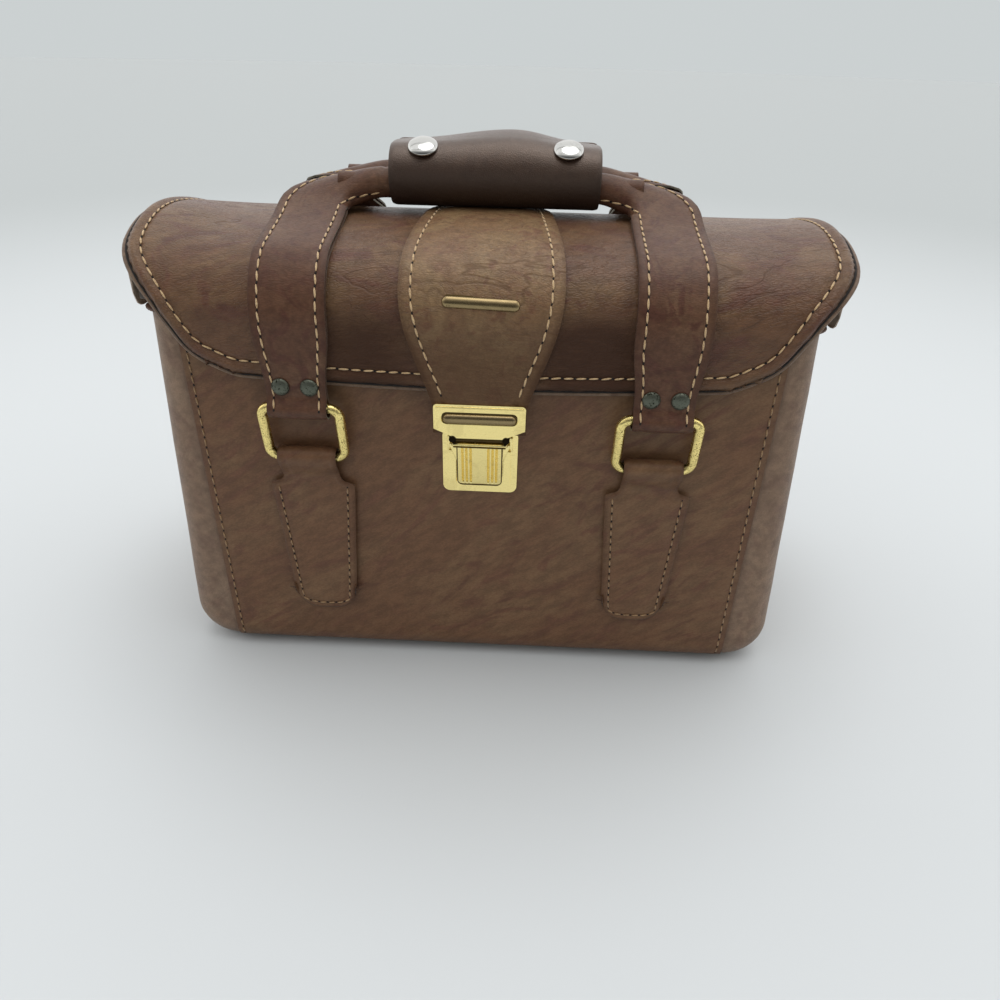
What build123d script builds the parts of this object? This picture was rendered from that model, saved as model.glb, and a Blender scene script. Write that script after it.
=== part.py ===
"""A leather camera case: a board-stiffened box with a domed, hinged lid and long front flap,
a press lock, and two strap handles on swinging rings, gathered by one snapped grip.

X runs to the viewer's right, Y to the back, Z up. The origin is the middle of the base. Sizes are in mm.
"""
import os
from math import asin, cos, degrees, radians, sin, sqrt

from build123d import *

os.makedirs("parts", exist_ok=True)

# Margins for cutting tools that run past what they cut, and for corners just short of a half circle
cut_margin = 1.0
corner_margin = 0.1

# Body of the case
body_half_depth = 63.2
base_half_width = 140.0
rim_height = 166.0
bottom_corner_radius = 20.0
edge_radius = 12.0

# Wall layers, from the outside inwards
skin_thickness = 1.8
panel_thickness = 1.8
board_thickness = 2.0
lining_thickness = 1.5
rim_binding_height = 1.2

# Front and back panels
panel_setback = 0.5
panel_bottom = 5.0
panel_seam = 8.0

# Padding inside
base_pad_thickness = 5.0
divider_thickness = 6.0
divider_height = 110.0
divider_x = 42.0

# Lid dome and flap
crest_height = 195.0
crest_y = -14.0
dome_radius = 140.0
brow_radius = 26.0
flap_gap = 5.5
lid_skin_thickness = 2.0
lid_board_thickness = 2.0
lid_lining_thickness = 1.2
lid_half_width = 139.0
lid_board_margin = 9.0
lid_overhang = 9.0
flap_shoulder_height = 190.0
flap_corner_half_width = 112.0
flap_corner_height = 153.0
flap_lower_half_width = 95.0
flap_bottom_middle = 142.0
flap_bottom_end = 145.0
flap_corner_radius = 24.0
lid_board_front_height = 171.5
lid_board_rear_setback = 9.0
flap_lining_margin = 1.2

# Lid end panels
lid_end_thickness = 2.0
lid_end_gap = 1.2
lid_end_bottom = 163.0
lid_end_front_y = -57.0
lid_end_rear_y = 55.0
lid_end_corner_radius = 6.0

# Hinge along the top of the back panel
hinge_height = 170.0
hinge_roll_radius = 2.3
hinge_gap = 0.3
hinge_leaf_thickness = 1.2
hinge_leaf_depth = 24.0
hinge_setback = 3.5

# Centre strap over the flap
centre_strap_thickness = 2.2
centre_strap_end_half_width = 18.5
centre_strap_widest_half_width = 30.5
centre_strap_crest_half_width = 24.0
centre_strap_widest_height = 182.0
centre_strap_rear_y = 14.0
centre_strap_end_height = 124.0
centre_strap_end_taper = 0.5
centre_strap_flank_half_width = 24.4
centre_strap_flank_height = 155.0
centre_strap_lap = 2.0
centre_strap_nose_length = 14.4
strap_bar_length = 29.0
strap_bar_radius = 2.4
strap_bar_height = 175.0

# Lock: hasp on the strap, plate and sliding thumb piece on the front panel
hasp_half_width = 18.0
hasp_top = 137.0
hasp_shoulder = 126.5
hasp_nose_half_width = 9.3
hasp_nose_height = 122.6
hasp_thickness = 1.0
hasp_corner_radius = 1.5
hasp_recess_depth = 0.5
hasp_recess_margin = 1.0
hasp_backing_margin = 1.5
hasp_backing_drop = 0.5
hasp_prong_x = 13.0
hasp_prong_height = 132.0
hasp_bar_length = 28.4
hasp_bar_radius = 1.6
hasp_bar_height = 131.2
prong_radius = 1.0
lock_half_width = 15.4
lock_top = 122.7
lock_bottom = 94.0
lock_plate_thickness = 1.0
lock_corner_radius = 3.0
lock_travel = 3.0
lock_clearance = 0.2
rail_width = 1.4
rail_lip_thickness = 0.7
rail_lip_gap = 0.4
rail_foot = 1.0
slider_half_width = 9.4
slider_flange_half_width = 11.0
slider_flange_thickness = 0.8
slider_top = 119.2
slider_bottom = 98.8
slider_proud = 7.2
slider_wall = 0.8
slider_bead_height = 1.9
thumb_lip_rise = 0.4
flute_count = 5
flute_radius = 0.7
spring_radius = 1.1
spring_wire_radius = 0.2
spring_turns = 6
spring_room = 9.6
spring_play = 0.5
spring_seat_half_width = 2.6
spring_seat_thickness = 1.2
lock_backing_thickness = 0.8
lock_prong_x = 13.4

# Rings, tabs and handle straps, the same at all four places
hardware_x = 70.5
wire_radius = 2.1
ring_inner_width = 26.5
ring_corner_radius = 4.2
ring_low_height = 109.6
ring_high_height = 133.0
loop_clearance = 0.4
loop_half_width = 12.0
tab_thickness = 3.0
tab_loop_thickness = 1.7
tab_shoulder_half_width = 18.0
tab_shoulder_height = 97.5
tab_bottom_half_width = 13.5
tab_bottom = 28.0
tab_bottom_rise = 5.0
tab_neck_rise = 3.5
tab_bevel = 1.5
tab_shoulder_drop = 3.0
tab_corner_radius = 3.0
tab_ramp_rise = 2.0
strap_layer = 2.0
strap_half_width = 14.0
strap_gap = 0.5
loop_lead = 5.5
loop_skive = 0.2
strap_taper_height = 13.5
rivet_head_radius = 3.4
rivet_head_height = 1.1
rivet_shank_radius = 1.4
rivet_head_taper = 30.0
rivet_spacing = 11.0
rivet_lift = 4.0

# Handle rolls and the grip round both of them
front_turn = 66.5
back_bend_radius = 26.0
back_turn = 62.0
roll_y = 9.8
neck_radius = 6.0
roll_radius = 9.3
neck_start = 46.0
neck_end = 54.0
neck_tip = 68.0
roll_swell_end = 38.0
elbow_corner_radius = 30.0
elbow_inner_radius = 7.0
grip_half_length = 44.0
grip_gap = 0.3
grip_wall = 2.2
grip_swell = 2.0
snap_x = 30.0
snap_tilt = 28.0
snap_radius = 6.0
snap_height = 2.4
snap_gap = 0.1
snap_taper = 35.0
snap_shank_rise = 0.5

# Sizes worked out from those above
panel_front = body_half_depth + panel_thickness
rim_half_width = lid_half_width - lid_overhang
panel_half_width = rim_half_width - edge_radius - panel_setback
hinge_half_width = panel_half_width - hinge_setback
flap_front = panel_front + flap_gap
dome_centre_z = crest_height - dome_radius
brow_y = -flap_front + brow_radius
brow_z = dome_centre_z + sqrt((dome_radius - brow_radius) ** 2 - (brow_y - crest_y) ** 2)
brow_lean = degrees(asin((crest_y - brow_y) / (dome_radius - brow_radius)))
hinge_y = panel_front
skin_inset = skin_thickness
board_inset = skin_inset + board_thickness
lining_inset = board_inset + lining_thickness
lid_lining_depth = lid_skin_thickness + lid_board_thickness
lid_end_x = rim_half_width + panel_thickness + lid_end_gap
side_slope = (base_half_width - rim_half_width) / rim_height
cavity_floor = lining_inset + base_pad_thickness
ring_low_y = panel_front + tab_loop_thickness + loop_clearance + wire_radius
strap_middle_y = flap_front + strap_gap + strap_layer
loop_bore = wire_radius + loop_clearance
strap_merge_height = ring_high_height + loop_lead
strap_wide_height = strap_merge_height + strap_taper_height
rivet_height = strap_merge_height + rivet_lift
lid_board_half_width = lid_half_width - lid_board_margin
spring_seat_height = slider_top - spring_room


def keep(piece, name):
    """Labels a finished piece and writes it to its own file."""
    piece.label = name
    export_step(piece, f"parts/{name}.step")
    return piece


def case_block(inset, top):
    """The body's rounded block, drawn in by inset on every side and cut off flat at the height top."""
    depth = 2 * (body_half_depth - inset)
    lean = sqrt(1 + side_slope**2)
    low_x = base_half_width - side_slope * inset - inset * lean
    high_x = base_half_width - side_slope * top - inset * lean
    with BuildPart() as block:
        with BuildSketch(Plane.XZ.offset(-depth / 2)):
            with BuildLine():
                Polyline((-low_x, inset), (low_x, inset), (high_x, top), (-high_x, top), close=True)
            outline = make_face()
            fillet(outline.vertices().group_by(Axis.Y)[0], radius=bottom_corner_radius - inset)
        extrude(amount=depth)
        front_edges = block.faces().sort_by(Axis.Y)[0].edges().sort_by(Axis.Z)[:-1]
        back_edges = block.faces().sort_by(Axis.Y)[-1].edges().sort_by(Axis.Z)[:-1]
        fillet(front_edges + back_edges, radius=edge_radius - inset)
    return block.part


def box_between(low, high):
    """A plain block from one corner to the other, for trimming."""
    with BuildPart() as block:
        with Locations(Vector(*low) * 0.5 + Vector(*high) * 0.5):
            Box(high[0] - low[0], high[1] - low[1], high[2] - low[2])
    return block.part


def tube_along_x(y, z, radius, half_length, middle_x=0.0):
    """A round bar along X."""
    with BuildPart() as bar:
        with BuildSketch(Plane.YZ.offset(middle_x - half_length)):
            with Locations((y, z)):
                Circle(radius)
        extrude(amount=2 * half_length)
    return bar.part


def dome_height(y, depth):
    """The height of the lid's dome at y, a given depth under its outer face."""
    return dome_centre_z + sqrt((dome_radius - depth) ** 2 - (y - crest_y) ** 2)


def brow_point(angle, depth):
    """A point on the brow arc between flap and dome: 0 degrees at the flap, 90 at the top."""
    radius = brow_radius - depth
    return (brow_y - radius * cos(radians(angle)), brow_z + radius * sin(radians(angle)))


def lid_sheet(outer, inner, half_width, rear_y, bottom):
    """A sheet that follows the lid from the rear, over the dome and down the flap, between two depths."""
    top_angle = 90 - brow_lean
    with BuildPart() as sheet:
        with BuildSketch(Plane.YZ.offset(-half_width)):
            with BuildLine():
                ends = []
                for depth in (outer, inner):
                    rear = (rear_y, dome_height(rear_y, depth))
                    middle_y = (rear_y + brow_point(top_angle, depth)[0]) / 2
                    middle = (middle_y, dome_height(middle_y, depth))
                    ThreePointArc(rear, middle, brow_point(top_angle, depth))
                    ThreePointArc(brow_point(top_angle, depth), brow_point(top_angle / 2, depth),
                                  brow_point(0, depth))
                    Line(brow_point(0, depth), (-flap_front + depth, bottom))
                    ends.append((rear, (-flap_front + depth, bottom)))
                Line(ends[0][0], ends[1][0])
                Line(ends[0][1], ends[1][1])
            make_face()
        extrude(amount=2 * half_width)
    return sheet.part


def flap_outline(inset):
    """The lid's cut outline seen from the front, drawn in by inset, as a block through the whole depth."""
    reach = 2 * flap_front
    top = crest_height + flap_corner_radius
    with BuildPart() as cutter:
        with BuildSketch(Plane.XZ.offset(-reach)):
            with BuildLine():
                side = [(lid_half_width, top), (lid_half_width, flap_shoulder_height),
                        (flap_corner_half_width, flap_corner_height), (flap_lower_half_width, flap_bottom_end)]
                Polyline(*side)
                Polyline(*[(-x, z) for x, z in side])
                Line((lid_half_width, top), (-lid_half_width, top))
                ThreePointArc(side[-1], (0, flap_bottom_middle), (-flap_lower_half_width, flap_bottom_end))
            outline = make_face()
            rounded = outline.vertices().group_by(Axis.Y)[1] + outline.vertices().group_by(Axis.Y)[2]
            fillet(rounded, radius=flap_corner_radius)
            if inset > 0:
                offset(amount=-inset, mode=Mode.REPLACE)
        extrude(amount=2 * reach)
    return cutter.part


# Body of the case
outer_block = case_block(0, rim_height)
skin_block = case_block(skin_inset, rim_height)
board_block = case_block(board_inset, rim_height)
lining_block = case_block(lining_inset, rim_height)
wide = 2 * base_half_width
window_half_width = panel_half_width - panel_seam
window_bottom = panel_bottom + panel_seam
window_reach = 2 * body_half_depth
window = box_between((-window_half_width, -window_reach, window_bottom),
                     (window_half_width, window_reach, rim_height))

with BuildPart() as body_gusset:
    add(outer_block)
    add(skin_block, mode=Mode.SUBTRACT)
    add(window, mode=Mode.SUBTRACT)
keep(body_gusset.part, "body_gusset")

prong_reach = body_half_depth - board_inset
lock_prongs = []
for side in (-1, 1):
    with BuildPart() as prong:
        with BuildSketch(Plane.XZ.offset(prong_reach)):
            with Locations((side * lock_prong_x, lock_bottom + lock_corner_radius + prong_radius)):
                Circle(prong_radius)
            with Locations((side * lock_prong_x, lock_top - lock_corner_radius - prong_radius)):
                Circle(prong_radius)
        extrude(amount=panel_front - prong_reach)
    lock_prongs.append(prong.part)

with BuildPart() as lock_backing:
    with BuildSketch(Plane.XZ.offset(prong_reach)):
        with Locations((0, (lock_top + lock_bottom) / 2)):
            RectangleRounded(2 * lock_half_width, lock_top - lock_bottom, lock_corner_radius)
    extrude(amount=lock_backing_thickness)
    for prong in lock_prongs:
        add(prong, mode=Mode.SUBTRACT)
keep(lock_backing.part, "lock_backing")

for name, facing in (("front", -1), ("back", 1)):
    near = min(0, facing * window_reach)
    far = max(0, facing * window_reach)
    with BuildPart() as panel:
        add(case_block(-panel_thickness, rim_height))
        add(outer_block, mode=Mode.SUBTRACT)
        add(box_between((-panel_half_width, near, panel_bottom), (panel_half_width, far, rim_height)),
            mode=Mode.INTERSECT)
        if facing < 0:
            for prong in lock_prongs:
                add(prong, mode=Mode.SUBTRACT)
    keep(panel.part, f"{name}_panel")

    with BuildPart() as padding:
        add(outer_block)
        add(skin_block, mode=Mode.SUBTRACT)
        add(box_between((-window_half_width, near, window_bottom), (window_half_width, far, rim_height)),
            mode=Mode.INTERSECT)
        if facing < 0:
            for prong in lock_prongs:
                add(prong, mode=Mode.SUBTRACT)
    keep(padding.part, f"{name}_padding")

    board_plane = body_half_depth - board_inset
    board_near = min(facing * board_plane, facing * window_reach)
    board_far = max(facing * board_plane, facing * window_reach)
    with BuildPart() as board:
        add(skin_block)
        add(box_between((-wide, board_near, -1), (wide, board_far, rim_height)), mode=Mode.INTERSECT)
        if facing < 0:
            for prong in lock_prongs:
                add(prong, mode=Mode.SUBTRACT)
            add(lock_backing.part, mode=Mode.SUBTRACT)
    keep(board.part, f"{name}_board")

with BuildPart() as board_band:
    add(skin_block)
    add(board_block, mode=Mode.SUBTRACT)
    add(box_between((-wide, -board_plane, -1), (wide, board_plane, rim_height)), mode=Mode.INTERSECT)

with BuildPart() as base_board:
    add(board_band.part)
    add(box_between((-wide, -board_plane, -1), (wide, board_plane, bottom_corner_radius)),
        mode=Mode.INTERSECT)
keep(base_board.part, "base_board")

for name, low_x, high_x in (("left", -wide, 0), ("right", 0, wide)):
    with BuildPart() as side_board:
        add(board_band.part)
        add(box_between((low_x, -board_plane, bottom_corner_radius), (high_x, board_plane, rim_height)),
            mode=Mode.INTERSECT)
    keep(side_board.part, f"{name}_board")

with BuildPart() as body_lining:
    add(board_block)
    add(lining_block, mode=Mode.SUBTRACT)
keep(body_lining.part, "body_lining")

with BuildPart() as base_pad:
    add(lining_block)
    add(box_between((-wide, -wide, 0), (wide, wide, cavity_floor)), mode=Mode.INTERSECT)
keep(base_pad.part, "base_pad")

for name, side in (("left", -1), ("right", 1)):
    with BuildPart() as divider:
        with Locations((side * divider_x, 0, cavity_floor + divider_height / 2)):
            Box(divider_thickness, 2 * (body_half_depth - lining_inset), divider_height)
        top_edges = divider.edges().filter_by(Axis.Y).group_by(Axis.Z)[-1]
        fillet(top_edges, radius=divider_thickness / 2 - corner_margin)
        add(lining_block, mode=Mode.INTERSECT)
    keep(divider.part, f"divider_{name}")

binding_top = rim_height + rim_binding_height
with BuildPart() as rim_binding:
    add(case_block(-panel_thickness, binding_top))
    add(case_block(lining_inset, binding_top), mode=Mode.SUBTRACT)
    add(box_between((-wide, -wide, rim_height), (wide, wide, binding_top)), mode=Mode.INTERSECT)
keep(rim_binding.part, "rim_binding")

# Hinge strip: a leaf on the back panel with a roll along its top
with BuildPart() as hinge_strip:
    with BuildSketch(Plane.YZ.offset(-hinge_half_width)):
        with Locations((hinge_y, hinge_height)):
            Circle(hinge_roll_radius)
        with Locations((hinge_y + hinge_leaf_thickness / 2, hinge_height - hinge_leaf_depth / 2)):
            Rectangle(hinge_leaf_thickness, hinge_leaf_depth)
    extrude(amount=2 * hinge_half_width)
keep(hinge_strip.part, "hinge_strip")
hinge_clearance = tube_along_x(hinge_y, hinge_height, hinge_roll_radius + hinge_gap, lid_half_width)


def ring(side, facing):
    """A rounded rectangle of wire, leaning out from its tab to its strap."""
    low = Vector(side * hardware_x, facing * ring_low_y, ring_low_height)
    high = Vector(side * hardware_x, facing * strap_middle_y, ring_high_height)
    rise = high - low
    half_width = ring_inner_width / 2 + wire_radius
    plane = Plane(origin=(low + high) * 0.5, x_dir=(1, 0, 0), z_dir=Vector(1, 0, 0).cross(rise.normalized()))
    with BuildPart() as wire_ring:
        with BuildSketch(plane):
            RectangleRounded(2 * half_width, rise.length, ring_corner_radius)
        path = wire_ring.pending_faces[0].outer_wire()
        wire_ring.pending_faces.clear()
        bottom = path.edges().sort_by(Axis.Z)[0]
        with BuildSketch(Plane(origin=bottom @ 0.5, z_dir=bottom % 0.5)):
            Circle(wire_radius)
        sweep(path=path)
    return wire_ring.part


def tab(side, facing):
    """A leather tab sewn to the panel, with a loop at its top round the ring's lower bar."""
    middle_x = side * hardware_x
    loop_radius = loop_bore + tab_loop_thickness
    face_y = panel_front
    with BuildPart() as leather:
        with BuildSketch(Plane.XZ.offset(face_y)):
            with BuildLine():
                half = [(loop_half_width, ring_low_height),
                        (loop_half_width, tab_shoulder_height + tab_neck_rise),
                        (tab_shoulder_half_width - tab_bevel, tab_shoulder_height + tab_bevel),
                        (tab_shoulder_half_width, tab_shoulder_height - tab_shoulder_drop),
                        (tab_bottom_half_width, tab_bottom + tab_bottom_rise)]
                Polyline(*[(middle_x + x, z) for x, z in half])
                Polyline(*[(middle_x - x, z) for x, z in half])
                Line((middle_x + half[0][0], half[0][1]), (middle_x - half[0][0], half[0][1]))
                ThreePointArc((middle_x + half[-1][0], half[-1][1]), (middle_x, tab_bottom),
                              (middle_x - half[-1][0], half[-1][1]))
            outline = make_face()
            fillet(outline.vertices().group_by(Axis.Y)[0], radius=tab_corner_radius)
        extrude(amount=tab_thickness)
        with BuildSketch(Plane.YZ.offset(middle_x - loop_half_width)):
            with Locations((-ring_low_y, ring_low_height)):
                Circle(loop_radius)
            with BuildLine():
                Polyline((-face_y, ring_low_height), (-ring_low_y - loop_radius, ring_low_height),
                         (-face_y - tab_thickness, tab_shoulder_height + tab_ramp_rise),
                         (-face_y, tab_shoulder_height + tab_ramp_rise),
                         close=True)
            make_face()
        extrude(amount=2 * loop_half_width)
        add(tube_along_x(-ring_low_y, ring_low_height, loop_bore, 2 * loop_half_width, middle_x),
            mode=Mode.SUBTRACT)
    if facing > 0:
        return mirror(leather.part, about=Plane.XZ)
    return leather.part


class Bend:
    """How one handle's straps turn from upright to the slope up to their roll."""

    def __init__(self, radius, height, turn):
        self.radius = radius
        self.y = -flap_front + radius
        self.height = height
        self.turn = turn
        self.rise = 90 - turn
        start_y, start_z = self.point(turn, strap_gap + strap_layer)
        self.reach = (-roll_y - start_y) / cos(radians(self.rise))
        self.roll_z = start_z + self.reach * sin(radians(self.rise))

    def point(self, angle, off):
        """A point on the bend, off the flap's line by off: 0 degrees where the bend starts."""
        radius = self.radius + off
        return (self.y - radius * cos(radians(angle)), self.height + radius * sin(radians(angle)))

    def slope_plane(self, off):
        """The plane of the sloping part: its own x along X, its own y up the slope."""
        y, z = self.point(self.turn, off)
        normal = (0, -sin(radians(self.rise)), cos(radians(self.rise)))
        return Plane(origin=(0, y, z), x_dir=(1, 0, 0), z_dir=normal)


front_bend = Bend(brow_radius, brow_z, front_turn)
back_bend_height = front_bend.roll_z - Bend(back_bend_radius, 0, back_turn).roll_z
back_bend = Bend(back_bend_radius, back_bend_height, back_turn)


def strap_layer_solid(bend, inner_off, outer_off, with_loop):
    """One layer of a right-hand strap: upright part, bend, and the elbow on the slope."""
    inner_y = -flap_front - inner_off
    outer_y = -flap_front - outer_off
    loop_radius = loop_bore + strap_layer - loop_skive
    neck_reach = bend.reach
    with BuildPart() as layer:
        with BuildSketch(Plane.YZ.offset(hardware_x - strap_half_width)):
            with BuildLine():
                ends = []
                for off in (inner_off, outer_off):
                    y = -flap_front - off
                    Line((y, strap_merge_height), bend.point(0, off))
                    ThreePointArc(bend.point(0, off), bend.point(bend.turn / 2, off),
                                  bend.point(bend.turn, off))
                    ends.append(((y, strap_merge_height), bend.point(bend.turn, off)))
                Line(ends[0][0], ends[1][0])
                Line(ends[0][1], ends[1][1])
            make_face()
        extrude(amount=2 * strap_half_width)
        for side in (-1, 1):
            with BuildSketch(Plane.XZ.offset(flap_front - strap_gap)):
                edge = hardware_x + side * strap_half_width
                with BuildLine():
                    Polyline((edge, strap_merge_height - cut_margin), (edge, strap_wide_height),
                             (hardware_x + side * loop_half_width, strap_merge_height),
                             (hardware_x + side * loop_half_width, strap_merge_height - cut_margin), close=True)
                make_face()
            extrude(amount=2 * (strap_gap + 2 * strap_layer), mode=Mode.SUBTRACT)
        with BuildSketch(bend.slope_plane(inner_off)):
            low_x = hardware_x - strap_half_width
            high_x = hardware_x + strap_half_width
            with BuildLine():
                Polyline((low_x, 0), (high_x, 0), (high_x, neck_reach + neck_radius),
                         (neck_start, neck_reach + neck_radius), (neck_start, neck_reach - neck_radius),
                         (low_x, neck_reach - neck_radius), close=True)
            elbow = make_face()
            outer_corner = elbow.vertices().sort_by(lambda v: v.X + v.Y)[-1]
            inner_corner = elbow.vertices().sort_by_distance((low_x, neck_reach - neck_radius))[0]
            fillet(outer_corner, radius=elbow_corner_radius)
            fillet(inner_corner, radius=elbow_inner_radius)
        extrude(amount=outer_off - inner_off)
        with BuildSketch(Plane.YZ.offset(hardware_x - loop_half_width)):
            with BuildLine():
                lobe = -strap_middle_y + (-loop_radius if with_loop else loop_radius)
                edge_y = outer_y if with_loop else inner_y
                Polyline((-strap_middle_y, ring_high_height), (lobe, ring_high_height),
                         (edge_y, strap_merge_height), (-strap_middle_y, strap_merge_height), close=True)
            make_face()
            if with_loop:
                with BuildLine():
                    ThreePointArc((-strap_middle_y - loop_radius, ring_high_height),
                                  (-strap_middle_y, ring_high_height - loop_radius),
                                  (-strap_middle_y + loop_radius, ring_high_height))
                    Line((-strap_middle_y + loop_radius, ring_high_height),
                         (-strap_middle_y - loop_radius, ring_high_height))
                make_face()
        extrude(amount=2 * loop_half_width)
        add(tube_along_x(-strap_middle_y, ring_high_height, loop_bore, 2 * loop_half_width, hardware_x),
            mode=Mode.SUBTRACT)
    return layer.part


def rivet_positions(side):
    """The two rivets of one strap, as X places."""
    return [side * hardware_x - rivet_spacing / 2, side * hardware_x + rivet_spacing / 2]


def handle_roll(bend):
    """The rolled leather core between the two straps, swelling inside the grip."""
    with BuildPart() as roll:
        with BuildSketch(Plane.XY):
            with BuildLine():
                profile = [(roll_swell_end, roll_radius), (neck_start, neck_radius), (neck_end, neck_radius),
                           (neck_tip, strap_layer), (neck_tip, 0)]
                Polyline(*profile)
                Polyline(*[(-x, r) for x, r in profile])
                Line(profile[0], (-profile[0][0], roll_radius))
                Line(profile[-1], (-profile[-1][0], 0))
            make_face()
        revolve(axis=Axis.X)
    return roll.part.moved(Location((0, -roll_y, bend.roll_z)))


def facing_copy(piece, facing):
    """The piece itself at the front, or its mirror image at the back."""
    if facing > 0:
        return mirror(piece, about=Plane.XZ)
    return piece


for place, facing, bend in (("front", -1, front_bend), ("back", 1, back_bend)):
    for name, side in (("left", -1), ("right", 1)):
        keep(tab(side, facing), f"{place}_tab_{name}")
        keep(ring(side, facing), f"{place}_ring_{name}")

    roll = handle_roll(bend)
    with BuildPart() as rivets:
        for side in (-1, 1):
            for x in rivet_positions(side):
                with BuildSketch(Plane.XZ.offset(flap_front + strap_gap)):
                    with Locations((x, rivet_height)):
                        Circle(rivet_shank_radius)
                extrude(amount=2 * strap_layer)
                with BuildSketch(Plane.XZ.offset(flap_front + strap_gap + 2 * strap_layer)):
                    with Locations((x, rivet_height)):
                        Circle(rivet_head_radius)
                extrude(amount=rivet_head_height, taper=rivet_head_taper)
    keep(facing_copy(rivets.part, facing), f"{place}_strap_rivets")

    for layer_name, inner_off, outer_off, with_loop in (
            ("strap", strap_gap + strap_layer, strap_gap + 2 * strap_layer, True),
            ("strap_backing", strap_gap, strap_gap + strap_layer, False)):
        with BuildPart() as right_layer:
            add(strap_layer_solid(bend, inner_off, outer_off, with_loop))
            add(roll, mode=Mode.SUBTRACT)
            add(rivets.part, mode=Mode.SUBTRACT)
        right_piece = facing_copy(right_layer.part, facing)
        keep(mirror(right_piece, about=Plane.YZ), f"{place}_{layer_name}_left")
        keep(right_piece, f"{place}_{layer_name}_right")
    keep(facing_copy(roll, facing), f"{place}_handle_roll")

# Grip: one leather wrap round both rolls, closed by two snaps
grip_z = front_bend.roll_z
grip_inner = roll_radius + grip_gap
with BuildPart() as grip_wrap:
    for x, swell in ((-grip_half_length, 0), (0, grip_swell), (grip_half_length, 0)):
        with BuildSketch(Plane.YZ.offset(x)):
            with Locations((0, grip_z)):
                RectangleRounded(2 * (roll_y + grip_inner + grip_wall), 2 * (grip_inner + grip_wall + swell),
                                 grip_inner + grip_wall - corner_margin)
    loft()
    with BuildSketch(Plane.YZ.offset(-grip_half_length)):
        with Locations((0, grip_z)):
            RectangleRounded(2 * (roll_y + grip_inner), 2 * grip_inner, grip_inner - corner_margin)
    extrude(amount=2 * grip_half_length, mode=Mode.SUBTRACT)
keep(grip_wrap.part, "grip_wrap")

snap_plane_y = -roll_y - (grip_inner + grip_wall) * sin(radians(snap_tilt))
snap_plane_z = grip_z + (grip_inner + grip_wall) * cos(radians(snap_tilt))
snap_normal = (0, -sin(radians(snap_tilt)), cos(radians(snap_tilt)))
with BuildPart() as snap_caps:
    for side in (-1, 1):
        seat = Plane(origin=(side * snap_x, snap_plane_y, snap_plane_z), x_dir=(1, 0, 0), z_dir=snap_normal)
        with BuildSketch(seat.offset(snap_gap)):
            Circle(snap_radius)
        extrude(amount=snap_height - snap_gap, taper=snap_taper)
        with BuildSketch(seat.offset(-grip_wall)):
            Circle(rivet_shank_radius)
        extrude(amount=grip_wall + snap_shank_rise)
    add(grip_wrap.part, mode=Mode.SUBTRACT)
keep(snap_caps.part, "snap_caps")

# Lid: skin, stiffening board, linings and end panels
with BuildPart() as lid_panel:
    add(lid_sheet(0, lid_skin_thickness, lid_half_width, hinge_y, flap_bottom_middle - cut_margin))
    add(flap_outline(0), mode=Mode.INTERSECT)
    add(hinge_clearance, mode=Mode.SUBTRACT)
keep(lid_panel.part, "lid_panel")

board_rear_y = hinge_y - lid_board_rear_setback
lid_interior = box_between((-lid_board_half_width, -wide, lid_board_front_height),
                           (lid_board_half_width, board_rear_y, crest_height))
with BuildPart() as lid_board:
    add(lid_sheet(lid_skin_thickness, lid_lining_depth, lid_board_half_width, board_rear_y,
                  brow_z - cut_margin))
    add(lid_interior, mode=Mode.INTERSECT)
    add(flap_outline(lid_half_width - lid_board_half_width), mode=Mode.INTERSECT)
keep(lid_board.part, "lid_board")

with BuildPart() as lid_lining:
    add(lid_sheet(lid_lining_depth, lid_lining_depth + lid_lining_thickness, lid_board_half_width, board_rear_y,
                  brow_z - cut_margin))
    add(lid_interior, mode=Mode.INTERSECT)
    add(flap_outline(lid_half_width - lid_board_half_width), mode=Mode.INTERSECT)
keep(lid_lining.part, "lid_lining")

with BuildPart() as flap_lining:
    add(lid_sheet(lid_skin_thickness, lid_skin_thickness + lid_lining_thickness, lid_half_width, brow_y,
                  flap_bottom_middle - cut_margin))
    add(box_between((-wide, -wide, 0), (wide, wide, lid_board_front_height)), mode=Mode.INTERSECT)
    add(flap_outline(flap_lining_margin), mode=Mode.INTERSECT)
keep(flap_lining.part, "flap_lining")

with BuildPart() as lid_end_right:
    with BuildSketch(Plane.YZ.offset(lid_end_x)):
        with BuildLine():
            arc_angle = degrees(asin((lid_end_front_y - brow_y) / -(brow_radius - lid_skin_thickness)))
            front_top = brow_point(90 - arc_angle, lid_skin_thickness)
            top_angle = 90 - brow_lean
            joint = brow_point(top_angle, lid_skin_thickness)
            half_way = brow_point((90 - arc_angle + top_angle) / 2, lid_skin_thickness)
            rear_top = (lid_end_rear_y, dome_height(lid_end_rear_y, lid_skin_thickness))
            middle_y = (joint[0] + rear_top[0]) / 2
            ThreePointArc(front_top, half_way, joint)
            ThreePointArc(joint, (middle_y, dome_height(middle_y, lid_skin_thickness)), rear_top)
            Polyline(rear_top, (lid_end_rear_y, lid_end_bottom), (lid_end_front_y, lid_end_bottom), front_top)
        outline = make_face()
        fillet(outline.vertices().group_by(Axis.Y)[0], radius=lid_end_corner_radius)
    extrude(amount=lid_end_thickness)
keep(lid_end_right.part, "lid_end_right")
keep(mirror(lid_end_right.part, about=Plane.YZ), "lid_end_left")

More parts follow.
